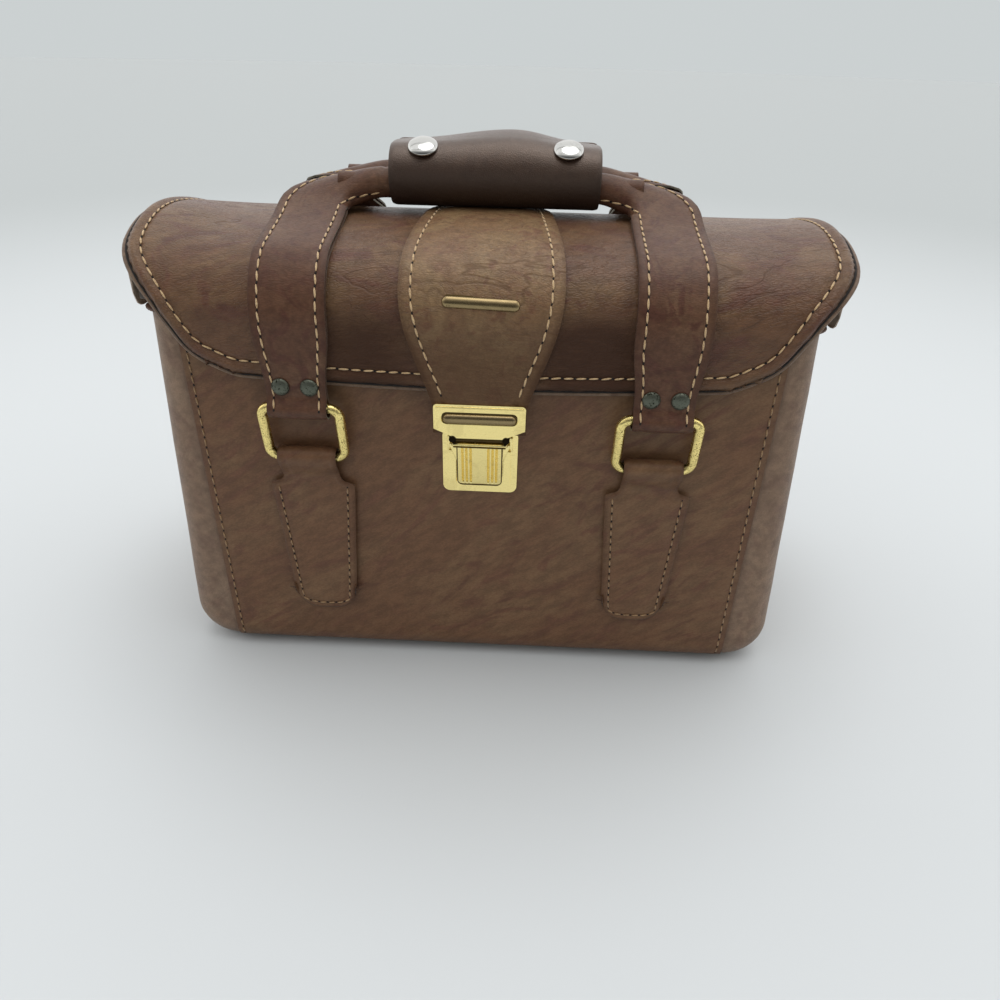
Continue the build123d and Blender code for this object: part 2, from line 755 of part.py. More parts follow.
# Centre strap, laid on the lid and hanging past the flap to the lock
above_lid = crest_height + 2 * centre_strap_thickness
with BuildPart() as strap_front:
    add(lid_sheet(-centre_strap_thickness, 0, lid_half_width, brow_y, centre_strap_end_height))
    with BuildSketch(Plane.XZ):
        with BuildLine():
            flank = Spline((centre_strap_end_half_width, hasp_top - centre_strap_lap),
                           (centre_strap_flank_half_width, centre_strap_flank_height),
                           (centre_strap_widest_half_width, centre_strap_widest_height),
                           tangents=((0.15, 1), (0, 1)))
            corner = (centre_strap_end_half_width - centre_strap_end_taper, centre_strap_end_height)
            Polyline(flank @ 0, corner, (-corner[0], corner[1]), (-(flank @ 0).X, (flank @ 0).Y))
            mirror(flank, about=Plane.YZ)
            Polyline(flank @ 1, (centre_strap_widest_half_width, above_lid),
                     (-centre_strap_widest_half_width, above_lid), (-(flank @ 1).X, (flank @ 1).Y))
        make_face()
    extrude(amount=2 * flap_front, mode=Mode.INTERSECT)
with BuildPart() as strap_crown:
    add(lid_sheet(-centre_strap_thickness, 0, lid_half_width, centre_strap_rear_y, centre_strap_end_height))
    with BuildSketch(Plane.XY):
        with BuildLine():
            nose_y = centre_strap_rear_y - cut_margin
            shoulder_y = nose_y - centre_strap_nose_length
            crown = Spline((centre_strap_widest_half_width, brow_y),
                           (centre_strap_crest_half_width, shoulder_y), tangents=((0, 1), (-0.35, 1)))
            mirror(crown, about=Plane.YZ)
            ThreePointArc(crown @ 1, (0, nose_y), (-centre_strap_crest_half_width, shoulder_y))
            Line(crown @ 0, (-centre_strap_widest_half_width, brow_y))
        make_face()
    extrude(amount=2 * crest_height, mode=Mode.INTERSECT)
hasp_prongs = []
for side in (-1, 1):
    with BuildPart() as prong:
        with BuildSketch(Plane.XZ.offset(flap_front - hasp_thickness)):
            with Locations((side * hasp_prong_x, hasp_prong_height)):
                Circle(prong_radius)
        extrude(amount=centre_strap_thickness + hasp_thickness)
    hasp_prongs.append(prong.part)
with BuildPart() as centre_strap:
    add(strap_front.part)
    add(strap_crown.part)
    for prong in hasp_prongs:
        add(prong, mode=Mode.SUBTRACT)
keep(centre_strap.part, "centre_strap")

# Half-round bar on the strap, square to the brow where it sits
bar_lean = degrees(asin((strap_bar_height - brow_z) / (brow_radius + centre_strap_thickness)))
bar_y, bar_z = brow_point(bar_lean, -centre_strap_thickness)
bar_seat = Plane(origin=(0, bar_y, bar_z), x_dir=(1, 0, 0),
                 z_dir=(0, -cos(radians(bar_lean)), sin(radians(bar_lean))))


def half_round_bar(seat, length, radius):
    """A bar with a round back and round ends, lying flat on its seat."""
    straight = length - 2 * radius
    with BuildPart() as bar:
        with BuildSketch(Plane(origin=seat.from_local_coords((-straight / 2, 0, 0)),
                               x_dir=seat.y_dir, z_dir=seat.x_dir)):
            Circle(radius)
        extrude(amount=straight)
        for side in (-1, 1):
            with Locations(seat.from_local_coords((side * straight / 2, 0, 0))):
                Sphere(radius)
        split(bisect_by=seat, keep=Keep.TOP)
    return bar.part


with BuildPart() as strap_bar:
    add(half_round_bar(bar_seat, strap_bar_length, strap_bar_radius))
    add(centre_strap.part, mode=Mode.SUBTRACT)
keep(strap_bar.part, "strap_bar")

plate_face = panel_front + lock_plate_thickness

# Hasp: plate on the strap's end with a nose, prongs through to a backing plate
strap_face = flap_front + centre_strap_thickness
with BuildPart() as hasp_plate:
    with BuildSketch(Plane.XZ.offset(strap_face)):
        Polygon((-hasp_half_width, hasp_top), (-hasp_half_width, hasp_shoulder),
                (-hasp_nose_half_width, hasp_nose_height), (hasp_nose_half_width, hasp_nose_height),
                (hasp_half_width, hasp_shoulder), (hasp_half_width, hasp_top), align=None)
    extrude(amount=hasp_thickness)
    fillet(hasp_plate.edges().filter_by(Axis.Y).group_by(Axis.Z)[-1], radius=hasp_corner_radius)
    with BuildSketch(Plane.XZ.offset(strap_face + hasp_thickness - hasp_recess_depth)):
        with Locations((0, hasp_bar_height)):
            SlotOverall(hasp_bar_length + 2 * hasp_recess_margin, 2 * (hasp_bar_radius + hasp_recess_margin))
    extrude(amount=hasp_recess_depth, mode=Mode.SUBTRACT)
    with BuildSketch(Plane.XZ.offset(plate_face + lock_clearance)):
        with Locations((0, hasp_nose_height + hasp_thickness / 2)):
            Rectangle(2 * hasp_nose_half_width, hasp_thickness)
    extrude(amount=strap_face - plate_face - lock_clearance)
    for prong in hasp_prongs:
        add(prong)
keep(hasp_plate.part, "hasp_plate")

recess_y = -strap_face - hasp_thickness + hasp_recess_depth
hasp_recess = Plane(origin=(0, recess_y, hasp_bar_height), x_dir=(1, 0, 0), z_dir=(0, -1, 0))
keep(half_round_bar(hasp_recess, hasp_bar_length, hasp_bar_radius), "hasp_bar")

with BuildPart() as hasp_backing:
    with BuildSketch(Plane.XZ.offset(flap_front - hasp_thickness)):
        with Locations((0, (hasp_top + hasp_shoulder) / 2 - hasp_backing_drop)):
            RectangleRounded(2 * (hasp_half_width - hasp_backing_margin),
                             hasp_top - hasp_shoulder - 2 * hasp_backing_drop, hasp_corner_radius)
    extrude(amount=hasp_thickness)
    for prong in hasp_prongs:
        add(prong, mode=Mode.SUBTRACT)
keep(hasp_backing.part, "hasp_backing")

# Lock: fixed plate with guide rails and spring seat, sliding thumb piece, spring and backing plate
flange_back = plate_face + lock_clearance
flange_front = flange_back + slider_flange_thickness
rail_inner = slider_flange_half_width + lock_clearance
rail_outer = rail_inner + rail_width
rail_lip = slider_half_width + rail_lip_gap
spring_y = flange_back + spring_radius + spring_wire_radius + spring_play
seat_reach = spring_y + spring_radius + spring_wire_radius - plate_face
thumb_top = slider_top - slider_bead_height
thumb_front = flange_back + slider_proud
thumb_lip = flange_front + thumb_lip_rise
hollow_top = thumb_top - slider_wall
with BuildPart() as lock_plate:
    with BuildSketch(Plane.XZ.offset(panel_front)):
        with Locations((0, (lock_top + lock_bottom) / 2)):
            RectangleRounded(2 * lock_half_width, lock_top - lock_bottom, lock_corner_radius)
    extrude(amount=lock_plate_thickness)
    for side in (-1, 1):
        rail_low = slider_bottom - rail_foot
        rail_high = thumb_top - lock_travel - lock_clearance
        with BuildSketch(Plane.XY.offset(rail_low)):
            with BuildLine():
                Polyline((side * rail_inner, -plate_face), (side * rail_outer, -plate_face),
                         (side * rail_outer, -flange_front - lock_clearance - rail_lip_thickness),
                         (side * rail_lip, -flange_front - lock_clearance - rail_lip_thickness),
                         (side * rail_lip, -flange_front - lock_clearance),
                         (side * rail_inner, -flange_front - lock_clearance), close=True)
            make_face()
        extrude(amount=rail_high - rail_low)
    with BuildSketch(Plane.XZ.offset(plate_face)):
        with Locations((0, spring_seat_height - spring_seat_thickness / 2)):
            Rectangle(2 * spring_seat_half_width, spring_seat_thickness)
    extrude(amount=seat_reach)
    for prong in lock_prongs:
        add(prong)
keep(lock_plate.part, "lock_plate")


thumb_slope = (thumb_front - thumb_lip) / (thumb_top - slider_bottom)


def thumb_wedge(inset, half_width, top):
    """The thumb piece's wedge, proud at its top and nearly flush at its bottom, its face drawn in by inset."""
    foot = slider_bottom + max(0, (flange_front - thumb_lip + inset) / thumb_slope)
    foot_y = thumb_lip - inset + thumb_slope * (foot - slider_bottom)
    top_y = thumb_lip - inset + thumb_slope * (top - slider_bottom)
    with BuildPart() as wedge:
        with BuildSketch(Plane.YZ.offset(-half_width)):
            with BuildLine():
                Line((-flange_front, foot), (-flange_front, top))
                Line((-flange_front, top), (-top_y, top))
                Line((-top_y, top), (-foot_y, foot))
                if inset < thumb_lip_rise:
                    Line((-foot_y, foot), (-flange_front, foot))
            make_face()
        extrude(amount=2 * half_width)
    return wedge.part


with BuildPart() as lock_slider:
    with BuildSketch(Plane.XZ.offset(flange_back)):
        with Locations((0, (slider_top + slider_bottom) / 2)):
            Rectangle(2 * slider_flange_half_width, slider_top - slider_bottom)
    extrude(amount=slider_flange_thickness)
    add(thumb_wedge(0, slider_half_width, thumb_top))
    with BuildSketch(Plane.YZ.offset(-slider_flange_half_width)):
        bead_radius = slider_bead_height / 2
        with Locations((-thumb_front, thumb_top + bead_radius)):
            Circle(bead_radius)
        with Locations((-(thumb_front + flange_front) / 2, thumb_top + bead_radius)):
            Rectangle(thumb_front - flange_front, slider_bead_height)
    extrude(amount=2 * slider_flange_half_width)
    hollow = thumb_wedge(slider_wall, slider_half_width - slider_wall, hollow_top)
    add(hollow, mode=Mode.SUBTRACT)
    window_low = spring_seat_height - spring_seat_thickness - lock_clearance
    with BuildSketch(Plane.XZ.offset(flange_back)):
        with Locations((0, (window_low + hollow_top) / 2)):
            Rectangle(2 * (spring_seat_half_width + lock_clearance), hollow_top - window_low)
    extrude(amount=slider_flange_thickness, mode=Mode.SUBTRACT)
    flute_spacing = 2 * slider_half_width / (flute_count + 1)
    for index in range(flute_count):
        flute_x = (index - (flute_count - 1) / 2) * flute_spacing
        foot = Plane(origin=(flute_x, -thumb_lip - flute_radius / 2, slider_bottom), x_dir=(1, 0, 0),
                     z_dir=(0, -(thumb_front - thumb_lip), thumb_top - slider_bottom))
        with BuildSketch(foot.offset(slider_bead_height)):
            Circle(flute_radius)
        extrude(amount=thumb_top - slider_bottom - slider_bead_height, mode=Mode.SUBTRACT)
keep(lock_slider.part, "lock_slider")

spring_length = hollow_top - spring_seat_height - 2 * spring_wire_radius
with BuildPart() as lock_spring:
    with BuildLine(Plane(origin=(0, -spring_y, spring_seat_height + spring_wire_radius))) as coil:
        Helix(pitch=spring_length / spring_turns, height=spring_length, radius=spring_radius)
    with BuildSketch(Plane(origin=coil.line @ 0, z_dir=coil.line % 0)):
        Circle(spring_wire_radius)
    sweep(path=coil.line, is_frenet=True)
keep(lock_spring.part, "lock_spring")
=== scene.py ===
"""Looks of a leather camera case: marbled leather over a stiff box, a domed lid with a long front flap,
a brass press lock, and two strap handles gathered by one snapped grip.

Everything is in metres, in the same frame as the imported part: X to the viewer's right, Y to the back, Z up.
"""
import logging
import math
import random
from dataclasses import dataclass
from enum import Enum
from typing import Callable, Sequence

import bmesh
import bpy
from mathutils import Matrix, Vector, kdtree, noise


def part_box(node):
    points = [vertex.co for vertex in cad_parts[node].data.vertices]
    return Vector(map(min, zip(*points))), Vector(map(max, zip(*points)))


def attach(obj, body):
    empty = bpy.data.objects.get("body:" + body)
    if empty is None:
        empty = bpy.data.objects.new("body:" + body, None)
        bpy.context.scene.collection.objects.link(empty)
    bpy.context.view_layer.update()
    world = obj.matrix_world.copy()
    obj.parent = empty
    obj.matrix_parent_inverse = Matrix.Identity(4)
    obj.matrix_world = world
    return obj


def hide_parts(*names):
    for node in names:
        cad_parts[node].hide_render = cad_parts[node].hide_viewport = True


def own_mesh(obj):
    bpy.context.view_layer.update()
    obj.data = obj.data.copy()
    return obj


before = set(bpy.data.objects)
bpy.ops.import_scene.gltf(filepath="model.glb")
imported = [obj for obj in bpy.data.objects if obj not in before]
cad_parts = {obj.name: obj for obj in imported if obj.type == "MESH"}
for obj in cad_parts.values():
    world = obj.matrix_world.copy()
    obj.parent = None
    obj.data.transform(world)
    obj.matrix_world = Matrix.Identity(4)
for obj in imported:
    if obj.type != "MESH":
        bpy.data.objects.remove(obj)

MM = 0.001
Lie = Callable[[float, float], Vector]
Colour = tuple[float, float, float]
Size = tuple[float, float, float]
BMesh = bmesh.types.BMesh
Material = bpy.types.Material
Node = bpy.types.Node
NodeTree = bpy.types.NodeTree
Piece = bpy.types.Object
Socket = bpy.types.NodeSocket
log = logging.getLogger("camera_case")


class Direction(Enum):
    """A direction, whose value is its sign along its axis."""

    @property
    def word(self) -> str:
        """The side's name, as the nodes have it."""
        return self.name.lower()


class Facing(Direction):
    """Front or back of the case, along Y."""

    FRONT = -1
    BACK = 1


class Side(Direction):
    """Left or right half of the case, along X."""

    LEFT = -1
    RIGHT = 1


def ease(low: float, high: float, value: float) -> float:
    """A smooth step from 0 at low to 1 at high."""
    part = min(max((value - low) / (high - low), 0.0), 1.0)
    return part * part * (3 - 2 * part)


def mix(a: float, b: float, share: float) -> float:
    """The value between a and b at that share."""
    return a + (b - a) * share


def bell(value: float, middle: float, width: float) -> float:
    """A bell curve of height 1 about middle."""
    return math.exp(-(((value - middle) / width) ** 2))


# Shader node groups and materials


class NodeDraft:
    """Adds nodes to one node tree and joins them."""

    def __init__(self, tree: NodeTree) -> None:
        """Keeps the tree that is drawn in."""
        self.tree = tree

    def add(self, kind: str, **values: object) -> Node:
        """Adds one node.

        Args:
            kind: The node's type, without its ShaderNode prefix.
            values: Properties of the node, or with a name that starts with "in_", an input's default value.

        Returns:
            The new node.
        """
        node = self.tree.nodes.new("ShaderNode" + kind)
        for name, value in values.items():
            if name.startswith("in_"):
                node.inputs[name[3:].replace("_", " ")].default_value = value
            else:
                setattr(node, name, value)
        return node

    def join(self, output: Socket, target: Socket) -> None:
        """Joins an output to an input."""
        self.tree.links.new(output, target)

    def feed(self, value: object, target: Socket) -> None:
        """Joins a socket to an input, or sets the input to a plain value."""
        if isinstance(value, Socket):
            self.join(value, target)
        else:
            target.default_value = value

    def math(self, operation: str, a: object, b: object = 0.0) -> Socket:
        """A Math node on two sockets or numbers; returns its output."""
        node = self.add("Math", operation=operation)
        self.feed(a, node.inputs[0])
        self.feed(b, node.inputs[1])
        return node.outputs[0]

    def remap(self, value: Socket, low: float, high: float, start: float = 0.0,
              end: float = 1.0) -> Socket:
        """A smooth Map Range of value from low..high to start..end; returns its output."""
        node = self.add("MapRange", interpolation_type="SMOOTHSTEP")
        self.join(value, node.inputs["Value"])
        for name, number in (("From Min", low), ("From Max", high), ("To Min", start), ("To Max", end)):
            node.inputs[name].default_value = number
        return node.outputs["Result"]

    def blend(self, share: object, a: object, b: object, mode: str = "MIX") -> Socket:
        """A colour Mix node; returns its colour."""
        node = self.add("Mix", data_type="RGBA", blend_type=mode)
        for index, value in ((0, share), (6, a), (7, b)):
            self.feed(value, node.inputs[index])
        return node.outputs[2]

    def noise(self, vector: Socket, size: Socket, share: float, **values: object) -> Node:
        """A noise texture over a vector, its scale a share of a size; values are as in add."""
        node = self.add("TexNoise", **values)
        self.join(vector, node.inputs["Vector"])
        self.join(self.math("MULTIPLY", size, share), node.inputs["Scale"])
        return node

    def grey(self, value: Socket) -> Socket:
        """The grey of a value, as a colour."""
        node = self.add("CombineColor")
        for channel in node.inputs:
            self.join(value, channel)
        return node.outputs[0]

    def turned(self, vector: Socket, slant: float, stretch: float) -> Socket:
        """The vector turned by slant degrees about Y and drawn out along X."""
        node = self.add("Mapping", vector_type="TEXTURE", in_Rotation=(0.0, math.radians(slant), 0.0),
                        in_Scale=(stretch, 1.0, 1.0))
        self.join(vector, node.inputs["Vector"])
        return node.outputs["Vector"]

    def bump(self, height: Socket, strength: float, depth: float, shader: Node) -> None:
        """A Bump node that feeds a shader's normal."""
        node = self.add("Bump", in_Strength=strength, in_Distance=depth)
        self.join(height, node.inputs["Height"])
        self.join(node.outputs["Normal"], shader.inputs["Normal"])


def new_group(name: str, inputs: Sequence[tuple[str, str, object]],
              outputs: Sequence[tuple[str, str]]) -> tuple[NodeTree, NodeDraft, dict, dict]:
    """Starts a shader node group.

    Args:
        name: The group's name.
        inputs: Name, socket type and default of each input.
        outputs: Name and socket type of each output.

    Returns:
        The group, its draft, and its input and output sockets by name.
    """
    tree = bpy.data.node_groups.new(name, "ShaderNodeTree")
    for label, kind, value in inputs:
        socket = tree.interface.new_socket(name=label, in_out="INPUT", socket_type="NodeSocket" + kind)
        if value is not None:
            socket.default_value = value
    for label, kind in outputs:
        tree.interface.new_socket(name=label, in_out="OUTPUT", socket_type="NodeSocket" + kind)
    start = tree.nodes.new("NodeGroupInput")
    end = tree.nodes.new("NodeGroupOutput")
    return (tree, NodeDraft(tree), {s.name: s for s in start.outputs if s.name},
            {s.name: s for s in end.inputs if s.name})


def marbling_group() -> NodeTree:
    """Soft clouds and streaks of two further tones over a base colour."""
    brown = (0.1, 0.06, 0.03, 1)
    tree, draft, given, out = new_group(
        "marbling",
        [("Vector", "Vector", None), ("Base", "Color", brown), ("Cloud", "Color", brown),
         ("Streak", "Color", brown), ("Size", "Float", 20.0)],
        [("Color", "Color")])
    colour: object = given["Base"]
    for share, tone, low, high, twist in ((1.0, "Cloud", 0.45, 0.62, 1.8), (2.3, "Streak", 0.5, 0.66, 2.8)):
        clouds = draft.noise(given["Vector"], given["Size"], share, in_Detail=5.0, in_Roughness=0.6,
                             in_Distortion=twist)
        colour = draft.blend(draft.remap(clouds.outputs["Fac"], low, high), colour, given[tone])
    fleck = draft.noise(given["Vector"], given["Size"], 14.0, in_Detail=4.0, in_Roughness=0.7)
    tint = draft.grey(draft.remap(fleck.outputs["Fac"], 0.3, 0.7, 0.8, 1.16))
    draft.join(draft.blend(1.0, colour, tint, "MULTIPLY"), out["Color"])
    return tree


def grain_group() -> NodeTree:
    """Leather grain: fine pebbles, soft hollows and long thin creases."""
    tree, draft, given, out = new_group(
        "leather_grain",
        [("Vector", "Vector", None), ("Size", "Float", 900.0), ("Crease Size", "Float", 30.0),
         ("Crease", "Float", 0.5)],
        [("Height", "Float"), ("Valley", "Float")])
    warp = draft.noise(given["Vector"], given["Size"], 0.6, in_Detail=2.0)
    bent = draft.add("VectorMath", operation="MULTIPLY_ADD")
    draft.join(warp.outputs["Color"], bent.inputs[0])
    bent.inputs[1].default_value = (0.0007, 0.0007, 0.0007)
    draft.join(given["Vector"], bent.inputs[2])
    cells = draft.add("TexVoronoi", feature="DISTANCE_TO_EDGE")
    draft.join(bent.outputs[0], cells.inputs["Vector"])
    draft.join(given["Size"], cells.inputs["Scale"])
    pebble = draft.remap(cells.outputs["Distance"], 0.0, 0.22)
    hollows = draft.noise(given["Vector"], given["Size"], 0.25, in_Detail=6.0, in_Roughness=0.65)
    deepest: object = 0.0
    for share, twist, weight in ((1.0, 0.7, 1.0), (2.3, 1.2, 0.8), (5.5, 1.8, 0.6)):
        fold = draft.noise(given["Vector"], given["Crease Size"], share, in_Detail=3.0, in_Roughness=0.5,
                           in_Distortion=twist)
        patch = draft.noise(given["Vector"], given["Crease Size"], share * 0.4, in_Detail=1.0)
        line = draft.math("ABSOLUTE", draft.math("SUBTRACT", fold.outputs["Fac"], 0.5))
        present = draft.remap(patch.outputs["Fac"], 0.4, 0.58, 0.0, weight)
        drawn = draft.math("MULTIPLY", draft.remap(line, 0.0, 0.013, 1.0, 0.0), present)
        deepest = draft.math("MAXIMUM", deepest, drawn)
    crease = draft.math("MULTIPLY", deepest, given["Crease"])
    height = draft.math("MULTIPLY", hollows.outputs["Fac"], 0.55)
    height = draft.math("ADD", draft.math("MULTIPLY", pebble, 0.45), height)
    draft.join(draft.math("SUBTRACT", height, crease), out["Height"])
    valley = draft.math("SUBTRACT", 1.0, pebble)
    draft.join(draft.math("MAXIMUM", draft.math("MULTIPLY", valley, 0.35), crease), out["Valley"])
    return tree


def speckle_group() -> NodeTree:
    """Small irregular spots, as where plating has worn through or tarnished."""
    tree, draft, given, out = new_group(
        "speckle",
        [("Vector", "Vector", None), ("Size", "Float", 500.0), ("Amount", "Float", 0.3)],
        [("Mask", "Float")])
    spots = draft.noise(given["Vector"], given["Size"], 1.0, in_Detail=5.0, in_Roughness=0.75,
                        in_Distortion=0.4)
    edge = draft.math("SUBTRACT", 0.75, draft.math("MULTIPLY", given["Amount"], 0.4))
    above = draft.math("SUBTRACT", spots.outputs["Fac"], edge)
    draft.join(draft.remap(above, 0.0, 0.05), out["Mask"])
    return tree


def scuff_group() -> NodeTree:
    """Fine drawn-out scratches and rubbed patches."""
    tree, draft, given, out = new_group(
        "scuff",
        [("Vector", "Vector", None), ("Size", "Float", 120.0), ("Amount", "Float", 0.5)],
        [("Mask", "Float")])
    stretched = draft.add("Mapping", in_Scale=(1.0, 1.0, 9.0), in_Rotation=(0.2, 0.5, 0.3))
    draft.join(given["Vector"], stretched.inputs["Vector"])
    marks = draft.noise(stretched.outputs["Vector"], given["Size"], 1.0, in_Detail=6.0, in_Roughness=0.7)
    marked = draft.remap(marks.outputs["Fac"], 0.5, 0.75)
    draft.join(draft.math("MULTIPLY", marked, given["Amount"]), out["Mask"])
    return tree


class Groups:
    """The shared node groups, built once."""

    def __init__(self) -> None:
        """Builds every group."""
        self.marbling = marbling_group()
        self.grain = grain_group()
        self.speckle = speckle_group()
        self.scuff = scuff_group()


GROUPS = Groups()


def place_group(draft: NodeDraft, tree: NodeTree, vector: Socket, **values: object) -> Node:
    """Places a shared group in a material, with its vector joined and its values set."""
    node = draft.add("Group")
    node.node_tree = tree
    draft.join(vector, node.inputs["Vector"])
    for name, value in values.items():
        node.inputs[name.replace("_", " ")].default_value = value
    return node


def new_material(name: str) -> tuple[Material, NodeDraft, Node, Socket]:
    """An empty material with its Principled shader and its Object coordinates."""
    material = bpy.data.materials.new(name)
    material.use_nodes = True
    draft = NodeDraft(material.node_tree)
    shader = material.node_tree.nodes["Principled BSDF"]
    coordinates = draft.add("TexCoord")
    return material, draft, shader, coordinates.outputs["Object"]


def opaque(colour: Colour) -> tuple[float, float, float, float]:
    """The colour with its alpha."""
    return (*colour, 1.0)


@dataclass(frozen=True)
class Leather:
    """Marbled, finished leather with grain, creases, darker worn seams, and painted shade where a piece adds
    it.
    """

    name: str
    base: Colour
    cloud: Colour
    streak: Colour
    marbling: float = 18.0
    slant: float = 0.0
    stretch: float = 1.0
    grain: float = 1100.0
    grain_depth: float = 0.00012
    crease: float = 0.5
    crease_size: float = 26.0
    crease_stretch: float = 1.0
    crease_slant: float = 0.0
    rough: float = 0.42
    seam_shade: float = 0.45
    shine: float = 0.32
    shine_tint: Colour = (1.0, 1.0, 1.0)

    def material(self) -> Material:
        """The finish as a material."""
        material, draft, shader, place = new_material(self.name)
        colour = place_group(draft, GROUPS.marbling, draft.turned(place, self.slant, self.stretch),
                             Base=opaque(self.base), Cloud=opaque(self.cloud), Streak=opaque(self.streak),
                             Size=self.marbling)
        grain = place_group(draft, GROUPS.grain, draft.turned(place, self.crease_slant, self.crease_stretch),
                            Size=self.grain, Crease=self.crease, Crease_Size=self.crease_size)
        scuff = place_group(draft, GROUPS.scuff, place, Size=90.0, Amount=0.5)
        dark = opaque(tuple(channel * share for channel, share in zip(self.base, (0.36, 0.28, 0.22))))
        seam = draft.add("Attribute", attribute_name="seam")
        valleys = draft.math("MULTIPLY", grain.outputs["Valley"], 0.55)
        toned = draft.blend(valleys, colour.outputs["Color"], dark)
        # Darker near the cut edges for worn seams, and painted shade where a piece's shade adds to the same
        # attribute.
        toned = draft.blend(draft.math("MULTIPLY", seam.outputs["Fac"], self.seam_shade), toned, dark)
        light = opaque(tuple(min(1.0, channel * 1.5 + 0.01) for channel in self.base))
        toned = draft.blend(draft.math("MULTIPLY", scuff.outputs["Mask"], 0.3), toned, light)
        draft.join(toned, shader.inputs["Base Color"])
        rough = draft.math("ADD", draft.math("MULTIPLY", grain.outputs["Valley"], 0.25), self.rough)
        rough = draft.math("ADD", draft.remap(seam.outputs["Fac"], 0.4, 2.0, 0.0, 0.3), rough)
        draft.join(draft.math("ADD", rough, draft.math("MULTIPLY", scuff.outputs["Mask"], 0.12)),
                   shader.inputs["Roughness"])
        draft.bump(grain.outputs["Height"], 0.7, self.grain_depth, shader)
        shader.inputs["Specular IOR Level"].default_value = self.shine
        shader.inputs["Specular Tint"].default_value = opaque(self.shine_tint)
        return material


@dataclass(frozen=True)
class Metal:
    """Plated or bare metal with tarnish spots and fine scratches."""

    name: str
    base: Colour
    tarnish: Colour
    spots: float = 0.3
    spot_size: float = 700.0
    rough: float = 0.25
    pitting: float = 0.00004

    def material(self) -> Material:
        """The finish as a material."""
        material, draft, shader, place = new_material(self.name)
        speckle = place_group(draft, GROUPS.speckle, place, Size=self.spot_size, Amount=self.spots)
        cloud = place_group(draft, GROUPS.speckle, place, Size=self.spot_size * 0.12, Amount=0.55)
        scuff = place_group(draft, GROUPS.scuff, place, Size=260.0, Amount=0.7)
        worn = opaque(tuple(mix(a, b, 0.3) for a, b in zip(self.base, self.tarnish)))
        toned = draft.blend(draft.math("MULTIPLY", cloud.outputs["Mask"], 0.5), opaque(self.base), worn)
        toned = draft.blend(speckle.outputs["Mask"], toned, opaque(self.tarnish))
        draft.join(toned, shader.inputs["Base Color"])
        rough = draft.math("ADD", draft.math("MULTIPLY", speckle.outputs["Mask"], 0.35), self.rough)
        draft.join(draft.math("ADD", rough, draft.math("MULTIPLY", scuff.outputs["Mask"], 0.2)),
                   shader.inputs["Roughness"])
        shader.inputs["Metallic"].default_value = 1.0
        scratches = draft.math("MULTIPLY", scuff.outputs["Mask"], 0.2)
        height = draft.math("SUBTRACT", scratches, speckle.outputs["Mask"])
        draft.bump(height, 0.5, self.pitting, shader)
        return material


@dataclass(frozen=True)
class Fibre:
    """Thread, cloth, board or a raw leather edge: matt, uneven and slightly fuzzy."""

    name: str
    base: Colour
    shade: Colour
    size: float = 900.0
    rough: float = 0.85
    depth: float = 0.0001
    sheen: float = 0.0

    def material(self) -> Material:
        """The finish as a material."""
        material, draft, shader, place = new_material(self.name)
        colour = place_group(draft, GROUPS.marbling, place, Base=opaque(self.base), Cloud=opaque(self.shade),
                             Streak=opaque(self.base), Size=self.size * 0.3)
        draft.join(colour.outputs["Color"], shader.inputs["Base Color"])
        fuzz = draft.add("TexNoise", in_Scale=self.size, in_Detail=4.0, in_Roughness=0.7)
        draft.join(place, fuzz.inputs["Vector"])
        draft.join(draft.remap(fuzz.outputs["Fac"], 0.2, 0.8, self.rough - 0.1, min(1.0, self.rough + 0.1)),
                   shader.inputs["Roughness"])
        draft.bump(fuzz.outputs["Fac"], 0.8, self.depth, shader)
        shader.inputs["Sheen Weight"].default_value = self.sheen
        return material


